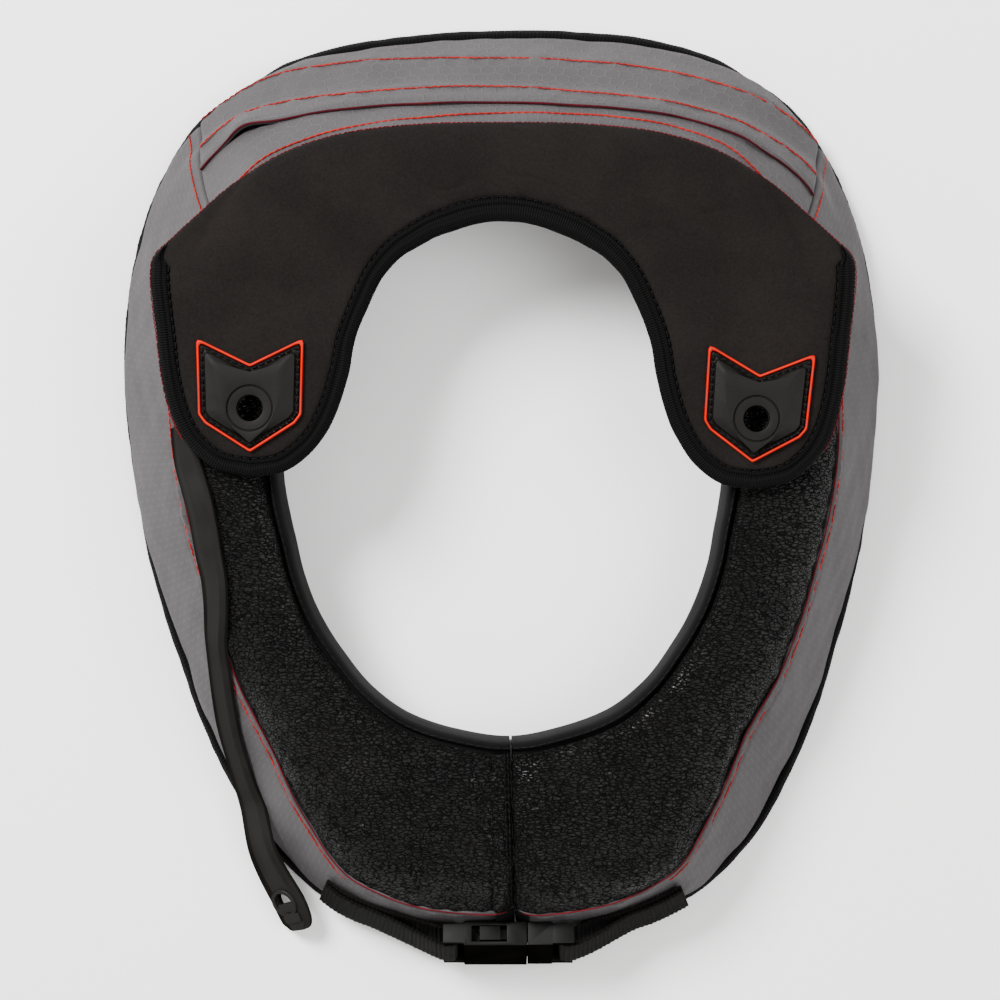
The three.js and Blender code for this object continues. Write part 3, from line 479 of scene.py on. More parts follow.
def makeDashGroup():  # plain cloth with small dashes set like bricks
    tree, given, out = newGroup("dashWeave", ["Height", "Line", "Shade"], Long=.0028, Wide=.0013)
    split = addNode(tree, "ShaderNodeSeparateXYZ", Vector=given["Vector"])
    across = sums(tree, "DIVIDE", split.outputs["X"], given["Wide"])
    down = sums(tree, "DIVIDE", split.outputs["Y"], given["Long"])
    column = sums(tree, "FLOOR", across)
    down = sums(tree, "MULTIPLY_ADD", column, .5, down)
    off = sums(tree, "ABSOLUTE", sums(tree, "SUBTRACT", sums(tree, "FRACT", down), .5))
    side = sums(tree, "ABSOLUTE", sums(tree, "SUBTRACT", sums(tree, "FRACT", across), .5))
    ends, sides = smoothStep(tree, off, .26, .36, 1.0, 0.0), smoothStep(tree, side, .1, .24, 1.0, 0.0)
    line = sums(tree, "MULTIPLY", ends, sides)
    warp = sums(tree, "SINE", sums(tree, "MULTIPLY", across, 18.85))
    weft = sums(tree, "SINE", sums(tree, "MULTIPLY", down, 40.0))
    weave = sums(tree, "MULTIPLY_ADD", sums(tree, "MULTIPLY", warp, weft), .5, .5)
    lint = noise(tree, given["Vector"], 1500.0, 3.0)
    tree.links.new(sums(tree, "MULTIPLY_ADD", weave, .35, line), out["Height"])
    tree.links.new(line, out["Line"])
    shade = sums(tree, "MULTIPLY_ADD", weave, .3, sums(tree, "MULTIPLY", lint, .8))
    tree.links.new(shade, out["Shade"])
    return tree


def makeRibGroup():  # woven tape and webbing: ribs across, broken by the threads between them
    tree, given, out = newGroup("wovenRibs", ["Height", "Shade"], Pitch=.0016, Thread=.0007)
    split = addNode(tree, "ShaderNodeSeparateXYZ", Vector=given["Vector"])
    across = sums(tree, "DIVIDE", split.outputs["X"], given["Pitch"])
    down = sums(tree, "DIVIDE", split.outputs["Y"], given["Thread"])
    rib, twist = wave01(tree, across), wave01(tree, sums(tree, "ADD", down, across))
    lint = noise(tree, given["Vector"], 2200.0, 2.0)
    high = sums(tree, "MULTIPLY_ADD", twist, .35, sums(tree, "MULTIPLY", rib, .8))
    tree.links.new(sums(tree, "MULTIPLY_ADD", lint, .25, high), out["Height"])
    # painted shade: the colour is darker in the grooves between the ribs, with random lint tone
    shade = sums(tree, "MULTIPLY_ADD", rib, .5, sums(tree, "MULTIPLY", lint, .7))
    tree.links.new(shade, out["Shade"])
    return tree


def makeLintGroup():  # dust, lint and rubbed places
    tree, given, out = newGroup("lintAndRub", ["Specks", "Rub", "Height"], Size=.0012, Amount=.4)
    scale = sums(tree, "DIVIDE", 1.0, given["Size"])
    grit = noise(tree, given["Vector"], scale, 4.0, .72)
    cloud = noise(tree, given["Vector"], sums(tree, "MULTIPLY", scale, .04), 3.0)
    specks = smoothStep(tree, grit, .5, .78)
    tree.links.new(sums(tree, "MULTIPLY", specks, given["Amount"]), out["Specks"])
    tree.links.new(smoothStep(tree, cloud, .35, .7), out["Rub"])
    tree.links.new(grit, out["Height"])
    return tree


pebbleGrain, hexRipstop, dashWeave = makePebbleGroup(), makeHexGroup(), makeDashGroup()
wovenRibs, lintAndRub = makeRibGroup(), makeLintGroup()


def newMaterial(name, **constants):
    material = bpy.data.materials.new(name)
    material.use_nodes = True
    tree = material.node_tree
    tree.nodes.clear()
    shader = addNode(tree, "ShaderNodeBsdfPrincipled", **constants)
    end = addNode(tree, "ShaderNodeOutputMaterial", Surface=shader.outputs[0])
    end.location = (300, 0)
    return material, tree, shader.inputs


def colourRamp(tree, value, *stops):  # stops are (place, red, green, blue)
    made = addNode(tree, "ShaderNodeValToRGB", Fac=value)
    ramp = made.color_ramp
    while len(ramp.elements) < len(stops):
        ramp.elements.new(.5)
    for element, stop in zip(ramp.elements, stops):
        element.position = stop[0]
        element.color = (*stop[1:], 1)
    return made.outputs[0]


def coat(tree, shader, colour, rough, height, relief):
    bump = addNode(tree, "ShaderNodeBump", Height=height, Distance=relief).outputs[0]
    for socket, value in (("Base Color", colour), ("Roughness", rough), ("Normal", bump)):
        tree.links.new(value, shader[socket])


def objectPlace(tree):
    return addNode(tree, "ShaderNodeTexCoord").outputs["Object"]


def clothPlace(tree):
    return addNode(tree, "ShaderNodeUVMap", {"uv_map": "cloth"}).outputs[0]


def leatherMaterial():
    look = {"cell": .00125, "relief": .0009, "shine": .21, "rub": .0009, "dull": .05,
            "dark": (.0002, .0002, .0002), "light": (.0034, .0033, .0027)}
    material, tree, shader = newMaterial("leatherette")
    grain = placeGroup(tree, pebbleGrain, Vector=objectPlace(tree), Cell=look["cell"])
    wear = placeGroup(tree, lintAndRub, Vector=objectPlace(tree), Size=look["rub"], Amount=.35)
    # painted shade: the colour is darker in the grain's creases, over a random broad tone
    tone = sums(tree, "MULTIPLY_ADD", grain["Crease"], -.45, sums(tree, "ADD", grain["Shade"], .1))
    colour = colourRamp(tree, tone, (.1, *look["dark"]), (.8, *look["light"]))
    rough = sums(tree, "MULTIPLY_ADD", grain["Crease"], .3, sums(tree, "MULTIPLY_ADD", wear["Rub"], .1, .3))
    shine = smoothStep(tree, grain["Crease"], .3, 1.0, look["shine"], look["dull"])
    tree.links.new(shine, shader["Specular IOR Level"])
    coat(tree, shader, colour, rough, grain["Height"], look["relief"])
    return material


def plainClothMaterial(name, dark, light, size=.0009, relief=.00008, rough=.82):
    material, tree, shader = newMaterial(name, Specular_IOR_Level=.06)
    wear = placeGroup(tree, lintAndRub, Vector=objectPlace(tree), Size=size, Amount=.5)
    tone = sums(tree, "MULTIPLY_ADD", wear["Rub"], .3, wear["Height"])
    rough = sums(tree, "MULTIPLY_ADD", wear["Specks"], .1, rough)
    coat(tree, shader, colourRamp(tree, tone, (.3, *dark), (.85, *light)), rough, wear["Height"], relief)
    return material


def greyClothMaterial(name, pattern, relief, lined, **sizes):
    look = {"dark": (.03, .0275, .0293), "light": (.058, .0535, .0565), "line": (.069, .065, .068)}
    material, tree, shader = newMaterial(name, Specular_IOR_Level=.15)
    weave = placeGroup(tree, pattern, Vector=clothPlace(tree), **sizes)
    wear = placeGroup(tree, lintAndRub, Vector=objectPlace(tree), Size=.0015, Amount=.5)
    tone = sums(tree, "MULTIPLY_ADD", wear["Rub"], .16, weave["Shade"])
    base = colourRamp(tree, tone, (.25, *look["dark"]), (1.0, *look["light"]))
    blend = addNode(tree, "ShaderNodeMix", {"data_type": "RGBA"})
    tree.links.new(sums(tree, "MULTIPLY", weave["Line"], lined), blend.inputs["Factor"])
    tree.links.new(base, blend.inputs[6])
    blend.inputs[7].default_value = (*look["line"], 1)
    rough = sums(tree, "MULTIPLY_ADD", weave["Shade"], .15, .55)
    coat(tree, shader, blend.outputs[2], rough, weave["Height"], relief)
    return material


def ribbedMaterial(name, dark, light, relief, rough, **sizes):
    material, tree, shader = newMaterial(name, Specular_IOR_Level=.06)
    ribs = placeGroup(tree, wovenRibs, Vector=clothPlace(tree), **sizes)
    wear = placeGroup(tree, lintAndRub, Vector=objectPlace(tree), Size=.0008, Amount=.4)
    # the colour carries painted shade between the ribs, plus random dust specks
    tone = sums(tree, "MULTIPLY_ADD", wear["Specks"], .4, ribs["Shade"])
    rough = sums(tree, "MULTIPLY_ADD", ribs["Shade"], .12, rough)
    coat(tree, shader, colourRamp(tree, tone, (.2, *dark), (1.1, *light)), rough, ribs["Height"], relief)
    return material


def neopreneMaterial():
    look = {"dark": (.0024, .0018, .0016), "light": (.0082, .0064, .0057), "relief": .0003}
    material, tree, shader = newMaterial("neoprene", Specular_IOR_Level=.1)
    wear = placeGroup(tree, lintAndRub, Vector=objectPlace(tree), Size=.0011, Amount=.6)
    fibre = noise(tree, objectPlace(tree), 1600.0, 3.0, .65)
    tone = sums(tree, "MULTIPLY_ADD", wear["Height"], .6, sums(tree, "MULTIPLY", fibre, .5))
    tone = sums(tree, "MULTIPLY_ADD", wear["Rub"], .15, tone)
    colour = colourRamp(tree, tone, (.4, *look["dark"]), (.85, *look["light"]))
    coat(tree, shader, colour, sums(tree, "MULTIPLY_ADD", fibre, .1, .85), tone, look["relief"])
    return material


def rubberMaterial(name, dark, light, rough, relief=.00004, size=.0007):
    material, tree, shader = newMaterial(name)
    facing = addNode(tree, "ShaderNodeLayerWeight", Blend=.5).outputs["Facing"]
    tree.links.new(smoothStep(tree, facing, .25, .55, .1, .0), shader["Specular IOR Level"])
    wear = placeGroup(tree, lintAndRub, Vector=objectPlace(tree), Size=size, Amount=.5)
    tone = sums(tree, "MULTIPLY_ADD", wear["Rub"], .35, sums(tree, "MULTIPLY", wear["Height"], .7))
    rough = sums(tree, "MULTIPLY_ADD", wear["Rub"], .12, rough)
    coat(tree, shader, colourRamp(tree, tone, (.2, *dark), (.85, *light)), rough, wear["Height"], relief)
    return material


materials = {
    "leather": leatherMaterial(),
    "band": plainClothMaterial("bandCloth", (.0008, .0008, .0009), (.003, .0029, .003)),
    "ripstop": greyClothMaterial("greyRipstop", hexRipstop, .00016, .4, Pitch=.0052),
    "dashes": greyClothMaterial("greyDashCloth", dashWeave, .00006, .2, Long=.0058, Wide=.0026),
    "tape": ribbedMaterial("edgeTape", (.0009, .0009, .001), (.0038, .0037, .0037), .0003, .8,
                           Pitch=.0014, Thread=.0007),
    "binding": ribbedMaterial("ribbedBinding", (.0005, .0005, .0006), (.0036, .0035, .0035), .0005, .7,
                              Pitch=.0009, Thread=.002),
    "neoprene": neopreneMaterial(),
    "patch": rubberMaterial("patchRubber", (.0026, .0023, .0019), (.0058, .0052, .0045), .5),
    "rim": rubberMaterial("patchRim", (.3, .0045, .0008), (.44, .009, .0016), .5),
    "strap": rubberMaterial("strapRubber", (.0036, .0033, .0028), (.0082, .0076, .0067), .52),
    "web": ribbedMaterial("webbing", (.0011, .001, .0009), (.0052, .0047, .0042), .0003, .85,
                          Pitch=.0017, Thread=.0008),
    "plastic": rubberMaterial("bucklePlastic", (.0008, .0008, .0007), (.0026, .0024, .0021), .45,
                              .00003, .0005),
    "redThread": plainClothMaterial("redThread", (.1, .0025, .003), (.3, .012, .006), .0005, .00006, .7),
    "wineThread": plainClothMaterial("wineThread", (.03, .0012, .0028), (.1, .0035, .007), .0005, .00006,
                                     .75),
    "blackThread": plainClothMaterial("blackThread", (.0008, .0008, .0008), (.0035, .0035, .0035), .0005,
                                      .00006, .5),
    "winePiping": plainClothMaterial("winePiping", (.012, .001, .002), (.05, .003, .006), .0007, .0001, .8),
}
print("materials made")

# Ring pieces

def stationAngles(count, frontShare=.45):  # closer together near the split front
    t = np.linspace(0, 1, count)[:, None]
    return 360 * (t - frontShare * np.sin(2 * math.pi * t) / (2 * math.pi))


def loopDistance(angles, place):
    return runLengths(onSkin(angles[:, 0], place), 0)[:, None]


def wallUv(angles, outerPoints, innerCount):
    # u runs along the wall at half its height, v down the cloth from the seam
    u, v = loopDistance(angles, 1.5), runLengths(outerPoints, 1)
    last = v[:, -1:] + np.linspace(1.6, 1.6 + 3 * innerCount, innerCount)
    v = np.concatenate([v, last, last[:, -1:] + 2], 1)
    return np.stack([np.broadcast_to(u, v.shape), v], -1)


def makeCollarBody():
    look = {"stations": 420, "under": -(ring["cover"] + 1.35)}
    angles = stationAngles(look["stations"])
    inner, top, end = ringAt(angles)[0], skin(angles, 0.0)[1], wallEnd(angles)
    band = ring["bandWidth"]
    swell = .5 * waves(onSkin(angles, .02), 38, 5)
    bandSection = [  # reach out from the inner edge, height
        (1.5, 0), (.5, 1.0), (0, 3.0), (-.5 + swell * .3, top * .3),
        (-.7 + swell * .5, top * .5), (-.5 + swell * .5, top * .7), (-.1, top - 7.5), (.2, top - 4.6),
        (.6, top - 2.9), (1.2, top - 1.5), (1.9, top - .7), (2.6, top - .35), (band - .5, top - .35),
        (band - .2, top - 1.2), (band - .2, top - ring["cover"] - 1.2)]
    columns = [spot(angles, inner + out, high) for out, high in bandSection]
    steps = wallSteps(angles)
    places = [.1, .28, .48, .7, .86, .98, mix(1, steps[0], .5), *steps[:-1], mix(steps[5], steps[6], .6)]
    columns += [onSkin(angles, place + 0 * angles, look["under"] - recess(angles, place)) for place in places]
    foot, deep = tapeFoot(angles) - ring["tapeThick"], recess(angles, 1.9)
    wallFoot = offset(angles, end, look["under"] - deep - .3)[0] - .5 * deep
    columns += [spot(angles, wallFoot, ring["tapeHigh"] + .75, 1.9),
                spot(angles, foot - 2.6, ring["tapeHigh"] + .1, 2.0), spot(angles, foot - 1.6, 0, 2.0)]
    points = np.concatenate(columns, 1)
    piece = makePiece("collarBody", points, materials["band"], sharp=70)
    return finishPiece(piece, "black_cloth", "collar_body", fill=.8)


def leatherRelief(angles, places, points):
    # wrinkles, puckers at the seam, a rolled strip on the left end, and edges tucked into the seams
    across = places / leatherEnd(angles)
    side = np.where(angles > 180, -1, 1)
    x, y = points[..., 0], points[..., 1]
    front = np.exp(-np.maximum(0, y + 110) / 60)
    relief = .34 * waves(points, 42, 11) + .13 * waves(points, 15, 12)
    slanted = waves(points * (1, .62, 1), 6.5, 13, along=(.8, -.6, 0))
    relief += front * ease(.0, .3, across) * (.2 * slanted - .12)
    fold = waves(points, 19, 14, along=(.25, 1, 0))
    relief += front * bell(across, .86, .13) * (.55 * fold)
    seamDistance = np.linalg.norm(points - points[:, -1:], axis=-1)
    u = loopDistance(angles, 1.0)
    pucker = wavy(u, 8.7, (.23, 31), (.3, 13.7))
    relief += .34 * pucker * np.exp(-seamDistance / 5.5) * (1 - .5 * front)
    bandDistance = np.linalg.norm(points - points[:, :1], axis=-1)
    relief += .12 * wavy(u, 6.1, (.2, 17)) * np.exp(-bandDistance / 3.5)
    relief -= 1.15 * np.exp(-seamDistance / .9) + .85 * np.exp(-bandDistance / .8)
    gap = np.abs(x)
    frontHalf = y < 0
    strip = .55 * (1 - ease(2.9, 3.5, gap)) - .7 * bell(gap, 3.9, .5)
    relief += np.where((side < 0) & frontHalf, strip, 0)
    relief -= np.where(frontHalf & (side > 0), .9 * np.exp(-np.maximum(gap - .35, 0) / 1.4), 0)
    relief += np.where(frontHalf, .3 * np.sin(y / 2.1 + 2 * np.sin(y / 9)) * bell(gap, 8, 4), 0)
    return relief


def makeLeatherTop():
    look = {"thick": 1.6, "stations": 760, "across": 64, "puff": .25}
    angles = stationAngles(look["stations"])
    t = np.linspace(0, 1, look["across"])[None, :]
    t = t - .055 * np.sin(2 * math.pi * t)  # closer together at both seams
    places = mix(.02, 1.0, t) * leatherEnd(angles)
    outer = onSkin(angles, places)
    relief = leatherRelief(np.broadcast_to(angles, places.shape), places, outer) + look["puff"]
    back = np.array([1.0, .7, .35, .02])[None, :] * leatherEnd(angles)
    under = onSkin(angles, back, -look["thick"])
    points = np.concatenate([raised(outer, angles, places, relief), under], 1)
    piece = makePiece("leatherTop", points, materials["leather"])
    return finishPiece(piece, "leatherette", "leather_top", fill=.7)


def makeSideWall(name, side, node):
    look = {"stations": 330, "down": 36}
    end = (ring["crossRight"] if side > 0 else ring["crossLeft"]) - ring["crossGap"] * .6
    start = 0 if side > 0 else 360 - end
    angles = np.linspace(start, start + end, look["stations"])[:, None]
    last = wallEnd(angles)
    t = np.linspace(0, 1, look["down"])[None, :]
    places = mix(1.012, last, t)
    outer = onSkin(angles, places)
    u = loopDistance(angles, 1.5)
    down = t * np.linalg.norm(outer[:, -1] - outer[:, 0], axis=-1)[:, None]
    relief = .32 * waves(outer, 34, 21) + .14 * waves(outer, 13, 22)
    relief += .3 * wavy(u, 10.3, (.3, 27)) * np.exp(-np.abs(down - 2.6) / 3.0)
    relief -= .55 * bell(down, 3.1, .55)  # the topstitch pulls the cloth down
    relief += .5 * bell(down, 1.4, 1.0)
    relief -= 1.0 * np.exp(-down / .5) + .2 * np.exp(-(down[:, -1:] - down) / .9)
    relief -= np.exp((halfAngle(angles) - end) * 2.6)  # tucked in at the cross seam
    outer = raised(outer, angles, places, relief)
    under = onSkin(angles, np.concatenate([last, mix(1.03, last, .5), 0 * last + 1.02], 1), -ring["cover"])
    points = np.concatenate([outer, under], 1)
    piece = makePiece(name, points, materials["dashes"], uv=wallUv(angles, outer, 3), sharp=75)
    return finishPiece(piece, "grey_ripstop", node)


def backAngles(count):
    gap = ring["crossGap"] * .6
    return np.linspace(ring["crossRight"] + gap, 360 - ring["crossLeft"] - gap, count)[:, None]


def fromCrossSeam(angles):
    return np.minimum(angles - ring["crossRight"], 360 - ring["crossLeft"] - angles) * 2.7


def makeBackWall():
    look = {"stations": 330, "down": 26}
    angles = backAngles(look["stations"])
    last, hem = wallEnd(angles), hemPlace(angles)
    places = mix(.79, last, np.linspace(0, 1, look["down"])[None, :] ** 1.3)
    outer = onSkin(angles, places)
    down = runLengths(outer, 1)
    sunk = recess(angles, 1.9) * ease(hem - .01, hem + .06, places)
    relief = .2 * waves(outer, 30, 31) - .3 * np.exp(-down / .6) - sunk
    outer = raised(outer, angles, places, relief)
    backs = np.concatenate([last, mix(hem, last, .5), hem, mix(1, hem, .6), 0 * last + .8], 1)
    under = onSkin(angles, backs, -ring["cover"] - recess(angles, backs))
    points = np.concatenate([outer, under], 1)
    piece = makePiece("backWall", points, materials["ripstop"], uv=wallUv(angles, outer, 5), sharp=75)
    return finishPiece(piece, "grey_ripstop", "back_wall")


def pocketGape(angles, t):  # the pocket's mouth stands open a little on the left
    left, right = 2.4 * bell(angles, 219, 3.6), .5 * bell(angles, 139.5, 3)
    return left * (1 - ease(0, .5, t)) + right * (1 - ease(0, .3, t))


def pocketSwell(angles, t):  # the panel stands out at its lower corners
    corners = bell(angles, 146, 8) + bell(angles, 214, 8)
    return (corners + 1.3 * bell(angles, 206, 9) + .5 * bell(angles, 150, 8)) * ease(.55, .95, t)


def makePocketPanel():
    look = {"thick": 1.6, "stations": 420, "down": 40}
    angles = backAngles(look["stations"])
    hem, last, lift = hemPlace(angles), wallEnd(angles) + .01, ring["pocketProud"]
    t = np.linspace(0, 1, look["down"])[None, :]
    places = mix(hem, last, t)
    outer = onSkin(angles, places, lift)
    hemDown, upper, lower = ((places - hemPlace(angles, col)) * wallLong(angles) for col in (1, 2, 3))
    u = loopDistance(angles, 1.5)
    relief = .3 * waves(outer, 28, 41) + .12 * waves(outer, 11, 42)
    pull = .28 * wavy(u, 9.4, (.3, 23))
    for line in (upper, lower):
        relief += pull * np.exp(-np.abs(line) / 2.6) - .5 * bell(line, 0, .5)
    relief += .35 * bell(hemDown, 1.1, 1.1) - .5 * bell(hemDown, 2.4, .45) - .9 * np.exp(-hemDown / .35)
    relief -= .3 * np.exp(-(hemDown[:, -1:] - hemDown) / .8) + np.exp(-fromCrossSeam(angles))
    relief += pocketSwell(angles, t) + pocketGape(angles, t)
    outer = raised(outer, angles, places, relief)
    backs = np.array([1, .66, .33, 0])[None, :]
    low = mix(hem, last, backs)
    under = raised(onSkin(angles, low, lift - look["thick"]), angles, low, pocketGape(angles, backs))
    points = np.concatenate([outer, under], 1)
    piece = makePiece("backPocketPanel", points, materials["ripstop"], uv=wallUv(angles, outer, 4),
                      sharp=75)
    return finishPiece(piece, "grey_ripstop", "back_pocket_panel")


def makeBaseTape():
    look = {"stations": 1500, "ribPitch": 1.4, "ribHigh": .09, "uneven": .12}
    angles = np.linspace(0, 360, look["stations"])[:, None]
    foot = tapeFoot(angles)
    thick, high = ring["tapeThick"], ring["tapeHigh"]
    section = [(-thick - 1.2, 0), (-.5, 0), (-.1, .35), (0, .9), (-.35, 2.1), (-1.0, 3.5),
               (-1.55, high - .45), (-2.1, high), (-thick - 1.4, high), (-thick - 1.9, high - .3),
               (-thick - 1.9, high * .5)]
    u = loopDistance(angles, 2.0)
    points = np.stack([spot(angles, foot + out, up, 2.0)[:, 0] for out, up in section], 1)
    middle = points.mean(1, keepdims=True)
    ribs = look["ribHigh"] * np.cos(2 * math.pi * u / look["ribPitch"])
    shaken = look["uneven"] * waves(points, 9, 51)
    facing = np.array([0, 0, .4, 1, 1, 1, 1, .6, .3, 0, 0])[None, :]
    points = points + unit(points - middle) * ((ribs + shaken) * facing)[..., None]
    points[..., 2] = np.maximum(points[..., 2], 0)
    piece = makePiece("baseTape", points, materials["tape"])
    return finishPiece(piece, "edge_tape", "base_tape")


def makeFrontTapes():  # black tape folded round each wall's end at the split
    look = {"right": 1.7, "left": 2.4, "stations": 14, "down": 22, "lift": .75, "under": -.4}
    spans = (("frontTapeRight", 0, look["right"]), ("frontTapeLeft", 360 - look["left"], 360))
    for name, start, end in spans:
        angles = np.linspace(start, end, look["stations"])[:, None]
        t = np.linspace(0, 1, look["down"])[None, :]
        places = mix(1.0, wallEnd(angles) + .02, t)
        outer = onSkin(angles, places, look["lift"])
        outer = raised(outer, angles, places, .15 * waves(outer, 7, 61))
        under = onSkin(angles, places[:, ::-1][:, ::7], look["under"])
        points = np.concatenate([outer, under], 1)
        finishPiece(makePiece(name, points, materials["tape"], sharp=75), "edge_tape")


makeCollarBody()
makeLeatherTop()
makeSideWall("sideWallRight", 1, "side_wall_right")
makeSideWall("sideWallLeft", -1, "side_wall_left")
makeBackWall()
makePocketPanel()
makeBaseTape()
makeFrontTapes()
print("ring pieces made")

# Yoke
yoke = {
    "half": 128.4, "footY": 7.3, "long": 128.2, "thick": 4.5, "lift": 1.2,
    "bindingTab": 6.5, "bindingBack": 8.6, "proud": .8, "rightLow": 4.4, "bumpRow": 9.6, "gap": .3,
}
yokeRows = np.array([  # outer x and y, inner x and y, as shares of half and long
    (.725, 0, .7025, 0), (.81, .019, .623, .013), (.867, .058, .561, .053), (.912, .112, .512, .107),
    (.946, .189, .47, .189), (.969, .291, .438, .291), (.981, .388, .419, .388), (.993, .484, .382, .484),
    (1, .569, .348, .555), (.99, .628, .317, .594), (.936, .682, .28, .628), (.866, .745, .24, .651),
    (.758, .835, .195, .676), (.611, .921, .146, .694), (.442, .973, .101, .709), (.231, .996, .051, .72),
    (0, 1, 0, .724)])
lastRow = len(yokeRows) - 1


def blendRows(col, row):  # even-stepped rows blended into one curve
    table = yokeRows[:, col]
    i = np.clip(np.floor(row).astype(int), 0, lastRow - 1)
    t = row - i
    b, c = table[i], table[i + 1]
    a = np.where(i > 0, table[np.maximum(i - 1, 0)], 2 * b - c)
    d = np.where(i < lastRow - 1, table[np.minimum(i + 2, lastRow)], np.where(np.abs(c) < 1e-9, -b, b))
    return catmull(a, b, c, d, t)


def yokeUnder(x, y):
    x, y = turnRing(x, y, -ring["turn"])
    dy = ring["centreY"] - y
    inner, seam = ringAt(np.degrees(np.arctan2(x, dy)) % 360)[:2]
    start = inner + ring["bandWidth"]
    t = (np.hypot(x, dy) - start) / (seam - start)
    follow = ease(*(yoke["footY"] + share * yoke["long"] for share in (.536, .723)), y)
    drop = np.where(t > .48, curveThrough(crownRows, np.clip(t, 0, .95)) * ring["crownDrop"], 0)
    return topHeight(y) - drop * follow + mix(yoke["lift"], .9, follow * ease(.5, .8, t))


def yokeEdge(outer, row, inset):
    row, inset = np.broadcast_arrays(np.asarray(row, float), np.asarray(inset, float))
    cols = (0, 1) if outer else (2, 3)

    def at(u):
        return yoke["half"] * blendRows(cols[0], u), yoke["footY"] + yoke["long"] * blendRows(cols[1], u)

    ax, ay = at(np.maximum(0, row - .05))
    bx, by = at(np.minimum(lastRow, row + .05))
    long = np.hypot(bx - ax, by - ay)
    turn = 1 if outer else -1
    nx = np.where(row >= lastRow, 0, -turn * (by - ay) / long)
    ny = np.where(row >= lastRow, -turn, turn * (bx - ax) / long)
    px, py = at(row)
    return px + nx * inset, py + ny * inset


def hang(side, x, y):
    fade = 1 - ease(*(yoke["footY"] + share * yoke["long"] for share in (.1, .528)), y)
    return side * x, y - (yoke["rightLow"] * fade if side > 0 else 0)


def bindingWidth(row):
    return mix(yoke["bindingTab"], yoke["bindingBack"], ease(7, 13, row))


def outerWidth(row):
    return yoke["bindingTab"] * (1 - ease(8.4, 9.9, row))


def yokeHalfGrid(side, rows, across, edge):
    gap = yoke["gap"] - edge
    tab = yoke["bindingTab"] + gap
    outerIn = (outerWidth(rows) + gap) * (1 - ease(yoke["bumpRow"], yoke["bumpRow"] + .3, rows))
    ox, oy = yokeEdge(True, rows, np.where(rows <= 0, tab, outerIn))
    ix, iy = yokeEdge(False, rows, np.where(rows <= 0, tab, bindingWidth(rows) + gap))
    return hang(side, mix(ox, ix, across), mix(oy, iy, across))


def makeYokePanel():
    look = {"rows": 240, "across": 56, "eye": 4.7, "edge": .35}
    rows = np.linspace(0, lastRow, look["rows"])[:, None]
    t = np.linspace(0, 1, look["across"])[None, :]
    t = t - .07 * np.sin(2 * math.pi * t)
    halves = []
    for side in (1, -1):
        x, y = yokeHalfGrid(side, rows, t, look["edge"])
        under = yokeUnder(x, y)
        top = np.stack([x, y, under + yoke["thick"]], -1)
        fromOuter = np.linalg.norm(top - top[:, :1], axis=-1)
        fromInner = np.linalg.norm(top - top[:, -1:], axis=-1)
        fromFoot = np.abs(top[..., 1] - top[:1, :, 1])
        flat = np.stack([x, y, 0 * x], -1)
        relief = .28 * waves(flat, 52, 71) + .12 * waves(flat, 21, 72)
        crease = np.exp(-(waves(flat, 30, 73, along=(.5, 1, 0)) / .12) ** 2)
        relief -= .3 * crease * ease(60, 95, y)
        relief *= 1 - np.exp(-(((x - side * 92) / 26) ** 2 + ((y - 36) / 28) ** 2) ** 3)  # flat by the patch
        outerRound = np.where(rows > 9, .5, 1.0)
        relief -= 1.3 * np.exp(-fromOuter / 1.1) * outerRound + 1.3 * np.exp(-fromInner / 1.1)
        relief -= 1.2 * np.exp(-fromFoot) * (rows < 3)
        puckers = wavy(runLengths(top[:, -1:], 0), 12)
        relief += .2 * puckers * np.exp(-fromInner / 6) * ease(9, 12, rows)
        top[..., 2] += relief
        low = np.stack([x, y, under], -1)[:, ::-1][:, ::5]
        halves.append(np.concatenate([top, low], 1))
    points = np.concatenate([halves[0], halves[1][:-1][::-1]], 0)
    piece = makePiece("yokePanel", points, materials["neoprene"], sharp=60)
    cutters = []
    for side in (1, -1):
        x, y = hang(side, patch["x"], patch["y"])
        bpy.ops.mesh.primitive_cylinder_add(vertices=48, radius=look["eye"] * mm, depth=.2,
                                            location=(x * mm, y * mm, 0))
        cutters.append(bpy.context.object)
    cutAway(piece, cutters)
    return finishPiece(piece, "neoprene", "yoke_panel", fill=.6)


def bindingPath(step):
    # positions along the bound edge of one half: down the outer edge to the tab's foot, up the inner edge
    dense = np.linspace(-yoke["bumpRow"], lastRow, 4000)
    root = np.stack(boundEdge(dense, .5), -1)
    far = runLengths(root, 0)
    return np.interp(np.linspace(0, far[-1], int(far[-1] / step)), far, dense)


def boundEdge(q, along):  # the place a share of the binding's width in from the edge
    rows, outer = np.abs(q), q < 0
    inset = np.where(outer, outerWidth(rows), bindingWidth(rows)) * along
    both = zip(yokeEdge(True, rows, inset), yokeEdge(False, rows, inset))
    return tuple(np.where(outer, a, b) for a, b in both)


def bindingSection(side, q, shape):
    level = yokeUnder(*hang(side, *boundEdge(q[:, None], .5))) + yoke["thick"] / 2
    x, y = hang(side, *boundEdge(q[:, None], shape[:, 0][None, :]))
    return np.stack([x, y, level + (yoke["thick"] / 2 + yoke["proud"]) * shape[:, 1][None, :]], -1)


def makeYokeBinding():
    look = {"step": .9, "uneven": .14}
    shape = np.array([
        (0, .0), (.02, .35), (.08, .62), (.18, .82), (.32, .94), (.46, .97), (.58, .9), (.64, .76),
        (.68, .72), (.73, .86), (.8, 1.0), (.88, .98), (.95, .8), (1, .45), (1, -.6), (.8, -.92),
        (.42, -1), (.16, -.72), (.03, -.3)])
    halves = []
    for side in (1, -1):
        points = bindingSection(side, bindingPath(look["step"]), shape)
        out = unit(points - points.mean(1, keepdims=True))
        halves.append(points + out * (look["uneven"] * waves(points, 14, 81))[..., None])
    points = np.concatenate([halves[0], halves[1][:-1][::-1]], 0)
    piece = makePiece("yokeBinding", points, materials["binding"], sharp=80)
    return finishPiece(piece, "ribbed_binding", "yoke_binding")


